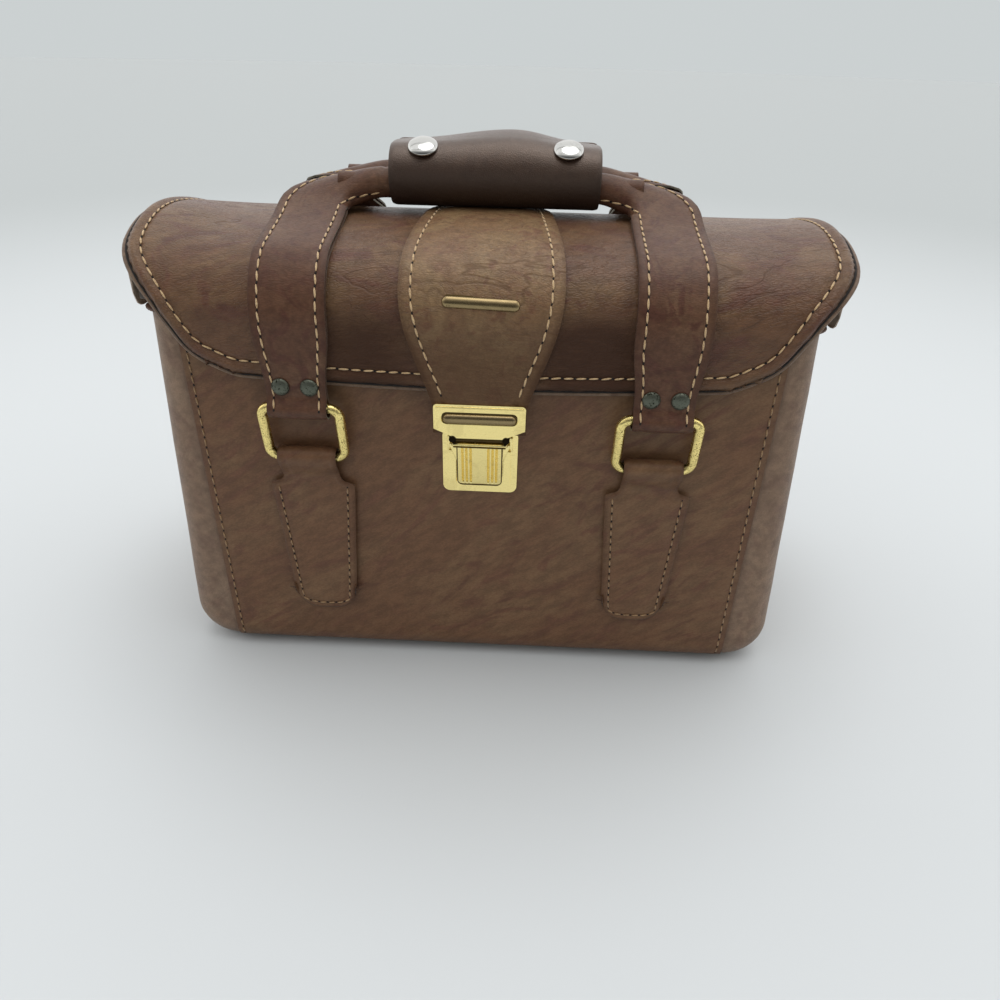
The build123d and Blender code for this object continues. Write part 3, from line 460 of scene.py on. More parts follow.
class Finish:
    """Every finish of the case, made once."""

    def __init__(self) -> None:
        """Makes the materials."""
        self.case = Leather("case_leather", (0.15, 0.075, 0.037), (0.166, 0.091, 0.045), (0.132, 0.06, 0.033),
                            marbling=20.0, slant=-32.0, stretch=2.6, crease=0.14, crease_size=30.0,
                            crease_stretch=3.0, crease_slant=-10.0, grain=1500.0, grain_depth=0.00006,
                            rough=0.42).material()
        # Painted sheen: the case's own leather, painted lighter and greyer for the glancing sheen that the
        # sides catch.
        self.gusset = Leather("gusset_leather", (0.215, 0.14, 0.092), (0.245, 0.165, 0.11),
                              (0.19, 0.118, 0.08), marbling=16.0, crease=0.15, grain=1300.0,
                              grain_depth=0.00007, rough=0.4).material()
        self.lid = Leather("lid_leather", (0.128, 0.064, 0.033), (0.16, 0.09, 0.044), (0.11, 0.046, 0.028),
                           marbling=17.0, slant=-18.0, stretch=2.0, crease=0.75, crease_size=56.0,
                           crease_stretch=3.6, crease_slant=-14.0, grain=1150.0, grain_depth=0.00028,
                           rough=0.34).material()
        # Painted light: a light base that stands for the light on the tongue's brow; the tongue's painted
        # shade darkens it low down.
        self.tongue = Leather("centre_strap_leather", (0.2, 0.116, 0.058), (0.232, 0.146, 0.072),
                              (0.168, 0.084, 0.045), marbling=26.0, crease=0.9, crease_size=44.0,
                              crease_stretch=2.6, crease_slant=6.0, grain=1150.0, grain_depth=0.0002,
                              rough=0.34).material()
        self.strap = Leather("strap_leather", (0.104, 0.049, 0.028), (0.13, 0.068, 0.038),
                             (0.088, 0.036, 0.023), marbling=24.0, crease=0.4, crease_size=46.0,
                             crease_stretch=3.4, grain=1300.0, grain_depth=0.0001, rough=0.36,
                             shine=0.24).material()
        self.grip = Leather("grip_leather", (0.038, 0.02, 0.013), (0.046, 0.025, 0.016),
                            (0.032, 0.016, 0.011), marbling=26.0, crease=0.06, grain=1300.0,
                            grain_depth=0.00013, rough=0.28, shine=0.9,
                            shine_tint=(1.0, 0.82, 0.7)).material()
        # Painted light: the lid's brown leather, painted much lighter for the sheen the lid's end panels
        # catch and to lift the shade under the lid.
        self.lid_end = Leather("lid_end_leather", (0.52, 0.43, 0.35), (0.56, 0.47, 0.38), (0.46, 0.37, 0.29),
                               marbling=30.0, crease=0.1, rough=0.5).material()
        self.cloth = Fibre("padding_cloth", (0.115, 0.1, 0.085), (0.085, 0.072, 0.06), size=1700.0,
                           depth=0.00015, sheen=0.5).material()
        self.second_layer = Leather("second_layer_leather", (0.17, 0.112, 0.074), (0.2, 0.134, 0.088),
                                    (0.14, 0.086, 0.058), marbling=30.0, crease=0.1, grain=1500.0,
                                    rough=0.45).material()
        self.raw_edge = Fibre("raw_leather_edge", (0.19, 0.18, 0.138), (0.105, 0.096, 0.07), size=1400.0,
                              depth=0.0002).material()
        self.dark_edge = Fibre("dyed_leather_edge", (0.05, 0.028, 0.018), (0.026, 0.015, 0.01), size=1400.0,
                               rough=0.6).material()
        self.pale_thread = Fibre("pale_thread", (0.6, 0.42, 0.22), (0.42, 0.26, 0.12), size=2600.0, rough=0.6,
                                 depth=0.0002, sheen=0.3).material()
        self.ochre_thread = Fibre("ochre_thread", (0.33, 0.2, 0.085), (0.2, 0.11, 0.045), size=2600.0,
                                  rough=0.6, depth=0.0002, sheen=0.3).material()
        # Near black: painted shade in the needle holes and in the gap behind the flap's edge.
        self.painted_shadow = Fibre("painted_shadow", (0.01, 0.006, 0.004), (0.004, 0.003, 0.002)).material()
        self.lining = Fibre("lining_cloth", (0.07, 0.06, 0.05), (0.048, 0.041, 0.034), size=1500.0,
                            sheen=0.4).material()
        self.board = Fibre("fibre_board", (0.22, 0.16, 0.1), (0.15, 0.11, 0.07)).material()
        self.foam = Fibre("foam_padding", (0.3, 0.29, 0.27), (0.22, 0.21, 0.2)).material()
        self.brass = Metal("polished_brass", (0.98, 0.81, 0.34), (0.34, 0.24, 0.09), spots=0.12,
                           spot_size=420.0, rough=0.22).material()
        self.antique = Metal("antique_brass", (0.3, 0.225, 0.115), (0.06, 0.04, 0.02), spots=0.3,
                             spot_size=500.0, rough=0.26).material()
        # Near black: painted shade in the lock's slot and the holes at its ends.
        self.painted_shade_metal = Metal("dark_recess", (0.024, 0.017, 0.009), (0.01, 0.007, 0.005), spots=0.3,
                                spot_size=700.0, rough=0.7).material()
        # Dark brown: painted shade in the bars' recesses and in the lock's slot, gap and groove.
        self.recess = Metal("bar_recess", (0.11, 0.075, 0.03), (0.04, 0.026, 0.012), spots=0.3,
                            spot_size=700.0, rough=0.5).material()
        self.gold = Metal("gold_wire", (0.96, 0.78, 0.3), (0.03, 0.02, 0.008), spots=0.48, spot_size=2000.0,
                          rough=0.2, pitting=0.0001).material()
        self.steel = Metal("spring_steel", (0.5, 0.5, 0.5), (0.1, 0.08, 0.06), rough=0.35).material()
        self.nickel = Metal("nickel_cap", (0.52, 0.52, 0.5), (0.24, 0.23, 0.21), spots=0.05,
                            rough=0.1).material()
        self.rivet = Metal("tarnished_rivet", (0.13, 0.14, 0.11), (0.03, 0.032, 0.02), spots=0.5,
                           spot_size=900.0, rough=0.45, pitting=0.00012).material()


FINISH = Finish()


# Sheet leather, tubes and stitches


@dataclass(frozen=True)
class Relief:
    """How a sewn leather piece swells and dips with the distance from its edge."""

    inset: float = 3.5 * MM
    dip: float = 0.3 * MM
    dip_width: float = 1.1 * MM
    round_over: float = 0.4 * MM
    swell: float = 0.0
    wave: float = 0.0
    wave_size: float = 40 * MM
    seam_width: float = 5 * MM
    roll: float = 0.0
    roll_at: float = 2.8 * MM
    roll_width: float = 1.7 * MM

    def lift(self, distance: float, place: Vector) -> float:
        """How far the face stands out at that distance from the edge."""
        rise = self.swell * ease(0.0, 3 * self.inset, distance)
        rise -= self.dip * bell(distance, self.inset, self.dip_width)
        rise += self.roll * bell(distance, self.roll_at, self.roll_width)
        rise -= self.round_over * (1 - ease(0.0, 1.5 * MM, distance))
        return rise + self.wave * noise.noise(place / self.wave_size)


def surface_normal(lie: Lie, across: float, along: float) -> Vector:
    """The outward normal of a piece's face, worked out from its neighbours."""
    step = 0.002
    left, right = lie(max(across - step, -1.0), along), lie(min(across + step, 1.0), along)
    low, high = lie(across, max(along - step, 0.0)), lie(across, min(along + step, 1.0))
    return (right - left).cross(high - low).normalized()


def link(mesh: BMesh, name: str, materials: Sequence[Material]) -> Piece:
    """Makes an object of a finished bmesh."""
    data = bpy.data.meshes.new(name)
    mesh.to_mesh(data)
    mesh.free()
    for material in materials:
        data.materials.append(material)
    data.shade_smooth()
    piece = bpy.data.objects.new(name, data)
    bpy.context.scene.collection.objects.link(piece)
    return piece


def put(piece: Piece, slot: str, body: str, *nodes: str) -> None:
    """Lets a piece ride on its body, and hides the imported nodes that it stands for."""
    if nodes:
        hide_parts(*nodes)
    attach(piece, body)


def grid(columns: int, rows: int) -> BMesh:
    """A flat mesh of that many faces, from -1 to 1 both ways."""
    mesh = bmesh.new()
    bmesh.ops.create_grid(mesh, x_segments=columns, y_segments=rows, size=1.0)
    return mesh


def close(mesh: BMesh, reach: float = 1e-7) -> None:
    """Merges the points of a mesh that meet, and turns its faces outwards."""
    bmesh.ops.remove_doubles(mesh, verts=mesh.verts, dist=reach)
    bmesh.ops.recalc_face_normals(mesh, faces=mesh.faces)


def soften(mesh: BMesh, edges: Sequence[bmesh.types.BMEdge], reach: float, segments: int = 2) -> None:
    """Rounds those edges of a mesh."""
    bmesh.ops.bevel(mesh, geom=edges, offset=reach, segments=segments, profile=0.5, affect="EDGES",
                    material=-1)


def thicken(piece: Piece, wall: float, **values: object) -> None:
    """Gives a piece its thickness, behind the face that was made."""
    solid = piece.modifiers.new("wall", "SOLIDIFY")
    for name, value in {"thickness": wall, "offset": -1.0, **values}.items():
        setattr(solid, name, value)


def round_edges(piece: Piece, width: float, angle: float) -> None:
    """Rounds the edges that are sharper than that many degrees."""
    rounding = piece.modifiers.new("rounding", "BEVEL")
    rounding.width = width
    rounding.segments = 2
    rounding.limit_method = "ANGLE"
    rounding.angle_limit = math.radians(angle)


def crowd(value: float, share: float) -> float:
    """Moves a grid's lines towards its ends, so that edges get more of them."""
    return value * (1 - share) + share * math.sin(value * math.pi / 2)


@dataclass
class Sheet:
    """A piece of sheet leather: lie(across, along) gives its outer face, across -1..1 and along 0..1."""

    name: str
    lie: Lie
    columns: int
    rows: int
    wall: float
    relief: Relief = Relief()
    edge_share: float = 0.45
    bevel: float = 0.4 * MM
    # Painted shade by place, added to the darkening near the cut edge.
    shade: Callable[[Vector], float] = lambda place: 0.0

    def edge_tree(self) -> kdtree.KDTree:
        """Points along the piece's cut edge, to measure distances from."""
        steps = 160
        places = []
        for step in range(steps + 1):
            share = step / steps
            across = 2 * share - 1
            places += [self.lie(-1.0, share), self.lie(1.0, share)]
            places += [self.lie(across, 0.0), self.lie(across, 1.0)]
        tree = kdtree.KDTree(len(places))
        for index, place in enumerate(places):
            tree.insert(place, index)
        tree.balance()
        return tree

    def build(self, face: Material, edge: Material) -> Piece:
        """Makes the piece, with its thickness inwards.

        Args:
            face: The finish of both faces.
            edge: The finish of the cut edge.

        Returns:
            The piece's object.
        """
        mesh = grid(self.columns, self.rows)
        seam = mesh.verts.layers.float.new("seam")
        tree = self.edge_tree()
        for vertex in mesh.verts:
            across = crowd(vertex.co.x, self.edge_share)
            along = crowd(vertex.co.y, self.edge_share) / 2 + 0.5
            place = self.lie(across, along)
            distance = tree.find(place)[2]
            lift = self.relief.lift(distance, place)
            vertex.co = place + surface_normal(self.lie, across, along) * lift
            # Darkening near the cut edge for the seam, plus the piece's painted shade.
            vertex[seam] = 1 - ease(0.0, self.relief.seam_width, distance) + self.shade(place)
        piece = link(mesh, self.name, (face, edge))
        thicken(piece, self.wall, use_even_offset=True, thickness_clamp=1.0, material_offset_rim=1)
        if self.bevel > 0:
            round_edges(piece, self.bevel, 50)
        return piece

    def stitch_line(self, across: float, start: float, end: float, steps: int) -> list[tuple[Vector, Vector]]:
        """Places and normals at the bottom of the dip, from along=start to end."""
        return [self.on_face(across, mix(start, end, step / steps)) for step in range(steps + 1)]

    def on_face(self, across: float, along: float) -> tuple[Vector, Vector]:
        """The place and normal of the face at the bottom of the stitch line's dip."""
        normal = surface_normal(self.lie, across, along)
        return self.lie(across, along) - normal * self.relief.dip * 0.6, normal


def tube(name: str, line: Sequence[Vector], radius: Callable[[float], float], around: int,
         finish: Material, closed: bool = False) -> Piece:
    """A round bead or cord of leather along a line.

    Args:
        name: The piece's name.
        line: The points that its middle follows.
        radius: Its radius, by the share of the way along.
        around: How many faces go round it.
        finish: Its material.
        closed: Whether its ends meet.

    Returns:
        The piece's object.
    """
    if closed:
        line = [*line, line[0]]
    count = len(line)
    frames = []
    normal = None
    for index in range(count):
        before = line[index - 1] if index else line[-2 if closed else 0]
        after = line[index + 1] if index < count - 1 else line[1 if closed else -1]
        tangent = (after - before).normalized()
        if normal is None:
            normal = tangent.orthogonal()
        normal = (normal - tangent * normal.dot(tangent)).normalized()
        frames.append((line[index], normal, tangent.cross(normal)))
    mesh = grid(around, count - 1)
    for vertex in mesh.verts:
        turn = (vertex.co.x + 1) * math.pi
        row = round((vertex.co.y + 1) / 2 * (count - 1))
        middle, first, second = frames[row]
        size = radius(row / (count - 1))
        vertex.co = middle + (first * math.cos(turn) + second * math.sin(turn)) * size
    bmesh.ops.remove_doubles(mesh, verts=mesh.verts, dist=1e-7)
    if not closed:
        bmesh.ops.holes_fill(mesh, edges=[edge for edge in mesh.edges if edge.is_boundary], sides=around + 2)
    bmesh.ops.recalc_face_normals(mesh, faces=mesh.faces)
    return link(mesh, name, (finish,))


@dataclass
class Stitching:
    """Rows of saddle stitches, gathered in one mesh for each body."""

    name: str
    thread: Material
    pitch: float = 4.8 * MM
    length: float = 3.9 * MM
    width: float = 0.85 * MM
    height: float = 0.7 * MM
    seed: int = 5
    lift: float = 0.12 * MM
    hole_lift: float = 0.02 * MM
    hole_size: Size = (0.52 * MM, 0.42 * MM, 0.16 * MM)

    def __post_init__(self) -> None:
        """Starts an empty mesh and the seeded unevenness."""
        self.mesh = bmesh.new()
        self.chance = random.Random(self.seed)
        self.count = 0

    def bead(self, place: Vector, tangent: Vector, normal: Vector, size: Sequence[float],
             material: int) -> None:
        """Adds one small rounded bead, long along tangent and flat along normal."""
        side = normal.cross(tangent).normalized()
        turn = Matrix((tangent, side, normal)).transposed().to_4x4()
        shape = Matrix.Translation(place) @ turn @ Matrix.Diagonal((*size, 1.0))
        made = bmesh.ops.create_uvsphere(self.mesh, u_segments=6, v_segments=5, radius=1.0,
                                         matrix=shape @ Matrix.Rotation(math.pi / 2, 4, "Y"))
        for vertex in made["verts"]:
            for face in vertex.link_faces:
                face.material_index = material

    def row(self, line: Sequence[tuple[Vector, Vector]]) -> None:
        """Sews one row along a line of places and normals that are near to each other."""
        lengths = [0.0]
        for (start, _), (end, _) in zip(line, line[1:]):
            lengths.append(lengths[-1] + (end - start).length)
        count = max(1, round(lengths[-1] / self.pitch))
        pitch = lengths[-1] / count
        segment = 0
        for number in range(count):
            for shift, is_hole in ((0.5, False), (0.0, True)):
                reach = (number + shift) * pitch
                if is_hole and segment and lengths[segment] > reach:
                    segment = max(0, segment - 3)
                while segment < len(line) - 2 and lengths[segment + 1] < reach:
                    segment += 1
                while segment > 0 and lengths[segment] > reach:
                    segment -= 1
                (a, na), (b, nb) = line[segment], line[segment + 1]
                share = (reach - lengths[segment]) / max(lengths[segment + 1] - lengths[segment], 1e-9)
                place = a.lerp(b, share)
                normal = na.lerp(nb, share).normalized()
                tangent = (b - a).normalized()
                # Each needle hole is a flat near-black bead: painted shade in the hole.
                if is_hole:
                    self.bead(place + normal * self.hole_lift, tangent, normal, self.hole_size, 1)
                    continue
                slant = self.chance.uniform(0.02, 0.16)
                drawn = (tangent + normal.cross(tangent) * slant).normalized()
                size = (self.length / 2 * self.chance.uniform(0.93, 1.05), self.width / 2, self.height / 2)
                self.bead(place + normal * self.lift, drawn, normal, size, 0)
                self.count += 1

    def finish(self, body: str) -> Piece:
        """Makes the object and lets it ride on its body."""
        piece = link(self.mesh, self.name, (self.thread, FINISH.painted_shadow))
        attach(piece, body)
        log.info("%s: %d stitches", self.name, self.count)
        return piece


# The case's own form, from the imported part

LID_LOW, LID_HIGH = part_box("lid_panel")
PANEL_LOW, PANEL_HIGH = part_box("front_panel")
GUSSET_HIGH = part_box("body_gusset")[1]
RING_LOW, RING_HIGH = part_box("front_ring_right")
GRIP_LOW, GRIP_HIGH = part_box("grip_wrap")
SLIDER_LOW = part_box("lock_slider")[0]
HASP_LOW, HASP_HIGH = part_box("hasp_plate")
WIRE_RADIUS = 2.1 * MM
HARDWARE_X = (RING_LOW.x + RING_HIGH.x) / 2
PANEL_FRONT = -PANEL_LOW.y
FLAP_FRONT = -LID_LOW.y


@dataclass(frozen=True)
class LidForm:
    """The lid's outer face: flap, brow arc and dome, and its cut outline seen from the front."""

    crest_y: float = -14 * MM
    crest_z: float = LID_HIGH.z
    dome_radius: float = 140 * MM
    brow_radius: float = 26 * MM
    front: float = FLAP_FRONT
    half_width: float = LID_HIGH.x
    shoulder_z: float = 191 * MM
    waist_x: float = 124.2 * MM
    waist_z: float = 173 * MM
    corner_x: float = 112 * MM
    corner_z: float = 153 * MM
    lower_x: float = 95 * MM
    lower_z: float = 145 * MM
    bottom_z: float = LID_LOW.z
    corner_radius: float = 24 * MM

    @property
    def dome_z(self) -> float:
        """Height of the dome's centre."""
        return self.crest_z - self.dome_radius

    @property
    def brow_y(self) -> float:
        """The brow arc's centre, to the back."""
        return -self.front + self.brow_radius

    @property
    def brow_z(self) -> float:
        """The brow arc's centre, up."""
        reach = self.dome_radius - self.brow_radius
        return self.dome_z + math.sqrt(reach**2 - (self.brow_y - self.crest_y) ** 2)

    @property
    def lean(self) -> float:
        """The angle from upright at which brow and dome meet."""
        return math.asin((self.crest_y - self.brow_y) / (self.dome_radius - self.brow_radius))

    @property
    def brow_run(self) -> float:
        """The brow arc's length."""
        return self.brow_radius * (math.pi / 2 - self.lean)

    def profile(self, run: float, off: float = 0.0) -> Vector:
        """A point in the middle plane, run metres above the flap's tangent point, off metres off the face."""
        if run <= 0:
            return Vector((0, -self.front - off, self.brow_z + run))
        if run <= self.brow_run:
            angle = run / self.brow_radius
            reach = self.brow_radius + off
            return Vector((0, self.brow_y - reach * math.cos(angle), self.brow_z + reach * math.sin(angle)))
        angle = self.lean - (run - self.brow_run) / self.dome_radius
        reach = self.dome_radius + off
        return Vector((0, self.crest_y - reach * math.sin(angle), self.dome_z + reach * math.cos(angle)))

    def run_at_height(self, z: float) -> float:
        """The run at which the flap or brow has that height."""
        if z <= self.brow_z:
            return z - self.brow_z
        return self.brow_radius * math.asin(min((z - self.brow_z) / self.brow_radius, 1.0))

    def run_at_depth(self, y: float) -> float:
        """The run at which the dome lies that far back."""
        angle = self.lean - math.asin((self.crest_y - y) / self.dome_radius)
        return self.brow_run + self.dome_radius * angle

    def outline(self) -> list[tuple[float, float]]:
        """The right-hand outline seen from the front, from above the crest down to the flap's lower end."""
        corners = [(self.half_width, self.crest_z + 20 * MM), (self.half_width, self.shoulder_z),
                   (self.waist_x, self.waist_z), (self.corner_x, self.corner_z), (self.lower_x, self.lower_z),
                   (0.0, self.bottom_z - MM)]
        points = [corners[0]]
        for before, corner, after in zip(corners, corners[1:], corners[2:]):
            points += rounded_corner(before, corner, after, self.corner_radius, 10)
        return points

    def half_width_at(self, z: float) -> float:
        """Half the lid's width at a height, read off the outline."""
        points = OUTLINE
        if z >= points[0][1]:
            return points[0][0]
        for (x0, z0), (x1, z1) in zip(points, points[1:]):
            if z1 <= z <= z0:
                return mix(x0, x1, (z0 - z) / max(z0 - z1, 1e-9))
        return points[-1][0]


def rounded_corner(before: tuple[float, float], corner: tuple[float, float], after: tuple[float, float],
                   radius: float, steps: int) -> list[tuple[float, float]]:
    """Points of the arc that rounds a corner of a flat outline."""
    a = Vector(before) - Vector(corner)
    b = Vector(after) - Vector(corner)
    half = a.angle(b) / 2
    reach = radius / math.tan(half)
    start = Vector(corner) + a.normalized() * reach
    end = Vector(corner) + b.normalized() * reach
    middle = Vector(corner) + (a.normalized() + b.normalized()).normalized() * (radius / math.sin(half))
    first, last = start - middle, end - middle
    sweep = first.angle(last)
    points = []
    for step in range(steps + 1):
        share = step / steps
        arm = (first * math.sin((1 - share) * sweep) + last * math.sin(share * sweep)) / math.sin(sweep)
        points.append(tuple(middle + arm))
    return points


LID = LidForm()
OUTLINE = LID.outline()


@dataclass
class Lid:
    """The lid's leather: skin with its flap, rolled edge, second layer behind the flap, and edge stitches."""

    wall: float = 2.0 * MM
    stitch_inset: float = 5.6 * MM
    edge_fade: float = 0.25
    left_trim: float = 3.0 * MM
    left_trim_x: float = 100 * MM
    end_lift: float = 3.6 * MM
    crest_reach: float = 34 * MM
    right_share: float = 0.55
    # Painted shade on the flap between the straps and the tongue: where it lies, how wide, and how strong on
    # the left and the right.
    shade_x: float = 42 * MM
    shade_width: float = 24 * MM
    shades: tuple[float, float] = (2.2, 2.8)
    edge_top: float = 0.86
    edge_steps: int = 70
    base_steps: int = 60
    layer_top_z: float = 171.5 * MM
    layer_gap: float = 0.25 * MM
    layer_reach: float = 0.3 * MM
    layer_drop: float = 0.5 * MM
    layer_fade: float = 0.6

    def __post_init__(self) -> None:
        """Works out where the lid starts and ends, as runs along its profile."""
        self.low_run = LID.lower_z - LID.brow_z
        self.rear_run = LID.run_at_depth(LID_HIGH.y - 1.0 * MM)

    def painted_shade(self, place: Vector) -> float:
        """Painted shade: how much darker the flap is between the straps and the tongue, where shade falls on
        it.
        """
        across = bell(abs(place.x), self.shade_x, self.shade_width)
        high = ease(LID.brow_z - 4 * MM, LID.brow_z + 17 * MM, place.z)
        return self.shades[place.x > 0] * across * (1 - high)

    def lift(self, x: float, run: float) -> float:
        """How far the leather stands proud of the dome: its ends curl up a little at the crest."""
        end = ease(0.72, 1.0, abs(x) / LID.half_width)
        crest = bell(run, LID.brow_run + 20 * MM, self.crest_reach)
        return self.end_lift * end * crest * (1.0 if x < 0 else self.right_share)

    def on_dome(self, x: float, run: float, sag: float, off: float) -> Vector:
        """A point of the lid at x; the left end is cut a little shorter than the right one."""
        place = LID.profile(run - sag, self.lift(x, run) + off)
        place.x = x + self.left_trim * ease(self.left_trim_x, LID.half_width, -x)
        return place

    def laid_flat(self, across: float, run: float, fade: float) -> tuple[float, float]:
        """The lid laid out flat: its x, and how far the flap's edge sags below run, at fade of the way up."""
        width = min(LID.half_width_at(max(LID.profile(run).z, LID.lower_z)), LID.half_width)
        return across * width, (LID.lower_z - LID.bottom_z) * (1 - across**2) * (1 - fade)

    def lie(self, across: float, along: float) -> Vector:
        """The lid's outer face."""
        run = mix(self.low_run, self.rear_run, along)
        x, sag = self.laid_flat(across, run, ease(0.0, self.edge_fade, along))
        return self.on_dome(x, run, sag, 0.0)

    def layer_lie(self, across: float, along: float) -> Vector:
        """The outer face of the second layer behind the flap, a little larger than the skin."""
        run = mix(self.low_run - self.layer_drop, LID.run_at_height(self.layer_top_z), along)
        x, sag = self.laid_flat(across, run, ease(0.0, self.layer_fade, along))
        return self.on_dome(x + across * self.layer_reach, run, sag, -self.wall - self.layer_gap)

    def build(self) -> None:
        """Makes every piece of the lid's leather."""
        relief = Relief(inset=self.stitch_inset, dip=0.55 * MM, dip_width=1.2 * MM, round_over=1.5 * MM,
                        roll=0.75 * MM, wave=0.3 * MM, wave_size=26 * MM, seam_width=1.5 * MM)
        skin = Sheet("lid_skin", self.lie, 170, 130, self.wall, relief, edge_share=0.55, bevel=0.0,
                     shade=self.painted_shade)
        piece = skin.build(FINISH.lid, FINISH.lid)
        put(piece, "case_leather", "lid", "lid_panel")
        log.info("lid skin: %d vertices", len(piece.data.vertices))
        flat = Relief(round_over=0.1 * MM, dip=0.0)
        layer = Sheet("flap_second_layer", self.layer_lie, 120, 30, 1.0 * MM, flat, edge_share=0.3,
                      bevel=0.3 * MM).build(FINISH.second_layer, FINISH.second_layer)
        put(layer, "case_leather", "lid", "flap_lining")
        self.edge_beads()
        rows = Stitching("flap_stitches", FINISH.pale_thread)
        placed = [(place, lid_normal(place)) for place in self.edge_line(self.stitch_inset, 0.0)]
        rows.row([(place - normal * relief.dip * 0.5, normal) for place, normal in placed])
        rows.finish("lid")

    def edge_line(self, inset: float, off: float) -> list[Vector]:
        """A line inset from the lid's edge, from the crest's left end down round the flap to the right."""
        falls = [self.edge_top * (1 - step / self.edge_steps) ** 2 for step in range(self.edge_steps + 1)]
        shares = [(-1.0, along) for along in falls]
        shares += [(-1.0 + 2.0 * step / self.base_steps, 0.0) for step in range(1, self.base_steps)]
        shares += [(1.0, along) for along in reversed(falls)]
        flat = []
        for across, along in shares:
            run = mix(self.low_run, self.rear_run, along)
            x, sag = self.laid_flat(across, run, ease(0.0, self.edge_fade, along))
            flat.append(Vector((x, run - sag)))
        line = []
        for index, place in enumerate(flat):
            direction = (flat[min(index + 2, len(flat) - 1)] - flat[max(index - 2, 0)]).normalized()
            moved = place + Vector((-direction.y, direction.x)) * inset
            line.append(self.on_dome(moved.x, min(moved.y, self.rear_run * 0.98), 0.0, off))
        return line

    def edge_beads(self) -> None:
        """The rounded edge of the second layer, and a near-black bead between it and the skin: a painted
        shadow in the gap.
        """
        beads = (("flap_second_edge", -1.5 * MM, -self.wall - 0.9 * MM, 1.0 * MM, FINISH.second_layer),
                 ("flap_dark_seam", -0.1 * MM, -self.wall + 0.2 * MM, 0.75 * MM, FINISH.painted_shadow))
        for name, inset, off, radius, finish in beads:
            bead = tube(name, self.edge_line(inset, off), lambda share: radius, 8, finish)
            put(bead, "case_leather", "lid")


def lid_normal(place: Vector) -> Vector:
    """The lid's outward normal at a place on it."""
    if place.z <= LID.brow_z and place.y < LID.brow_y:
        return Vector((0, -1, 0))
    edge = LID.profile(LID.brow_run)
    if place.y < edge.y:
        return Vector((0, place.y - LID.brow_y, place.z - LID.brow_z)).normalized()
    return Vector((0, place.y - LID.crest_y, place.z - LID.dome_z)).normalized()


@dataclass
class CentreStrap:
    """The tongue over the flap: narrow at the lock, wide over the brow, round at its rear end."""

    wall: float = 2.2 * MM
    end_z: float = 124 * MM
    end_half_width: float = 18.4 * MM
    neck_z: float = 135 * MM
    widest_half_width: float = 30.5 * MM
    widest_z: float = 180 * MM
    crest_half_width: float = 25.5 * MM
    rear_y: float = 13 * MM
    tip_start: float = 0.62
    stitch_inset: float = 4.6 * MM
    stitch_start: float = 0.115
    stitch_end: float = 0.952
    stitch_steps: int = 90

    def half_width(self, run: float) -> float:
        """Half the strap's width at a run up the lid."""
        neck = self.neck_z - LID.brow_z
        widest = LID.run_at_height(self.widest_z)
        if run <= widest:
            share = max(run - neck, 0.0) / (widest - neck)
            return mix(self.end_half_width, self.widest_half_width, math.sin(share * math.pi / 2) ** 1.25)
        rear = LID.run_at_depth(self.rear_y)
        share = min((run - widest) / (rear - widest), 1.0)
        sides = mix(self.widest_half_width, self.crest_half_width, ease(0.0, 0.8, share))
        tip = max(0.0, (share - self.tip_start) / (1 - self.tip_start))
        return sides * math.sqrt(max(1 - tip**2.3, 0.0))

    def lie(self, across: float, along: float) -> Vector:
        """The strap's outer face."""
        start = self.end_z - LID.brow_z
        run = mix(start, LID.run_at_depth(self.rear_y), along)
        place = LID.profile(run, self.wall)
        place.x = across * max(self.half_width(run), 0.4 * MM)
        return place

    def build(self) -> None:
        """Makes the strap and its stitches."""
        relief = Relief(inset=self.stitch_inset, dip=0.45 * MM, dip_width=1.2 * MM, round_over=0.5 * MM,
                        swell=0.5 * MM, wave=0.15 * MM, wave_size=20 * MM, seam_width=3.5 * MM)
        # Painted shade: the tongue darker low down on the upright flap, fading out towards the brow where
        # light falls.
        sheet = Sheet("centre_strap_leather", self.lie, 44, 90, self.wall, relief, edge_share=0.4,
                      shade=lambda place: 1.5 * (1 - ease(150 * MM, 186 * MM, place.z)))
        piece = sheet.build(FINISH.tongue, FINISH.dark_edge)
        put(piece, "strap_leather", "lid", "centre_strap")
        rows = Stitching("centre_strap_stitches", FINISH.pale_thread, seed=7)
        line = []
        for sign in (-1, 1):
            half = []
            for step in range(self.stitch_steps + 1):
                along = mix(self.stitch_start, self.stitch_end, step / self.stitch_steps)
                run = mix(self.end_z - LID.brow_z, LID.run_at_depth(self.rear_y), along)
                width = self.half_width(run)
                slope = (self.half_width(run + MM) - self.half_width(run - MM)) / (2 * MM)
                inset = self.stitch_inset * math.sqrt(1 + min(slope**2, 9.0))
                half.append(sheet.on_face(sign * max(width - inset, 0.0) / max(width, MM), along))
            line.append(half)
        rows.row(line[0] + line[1][::-1])
        rows.finish("lid")
        log.info("centre strap done")


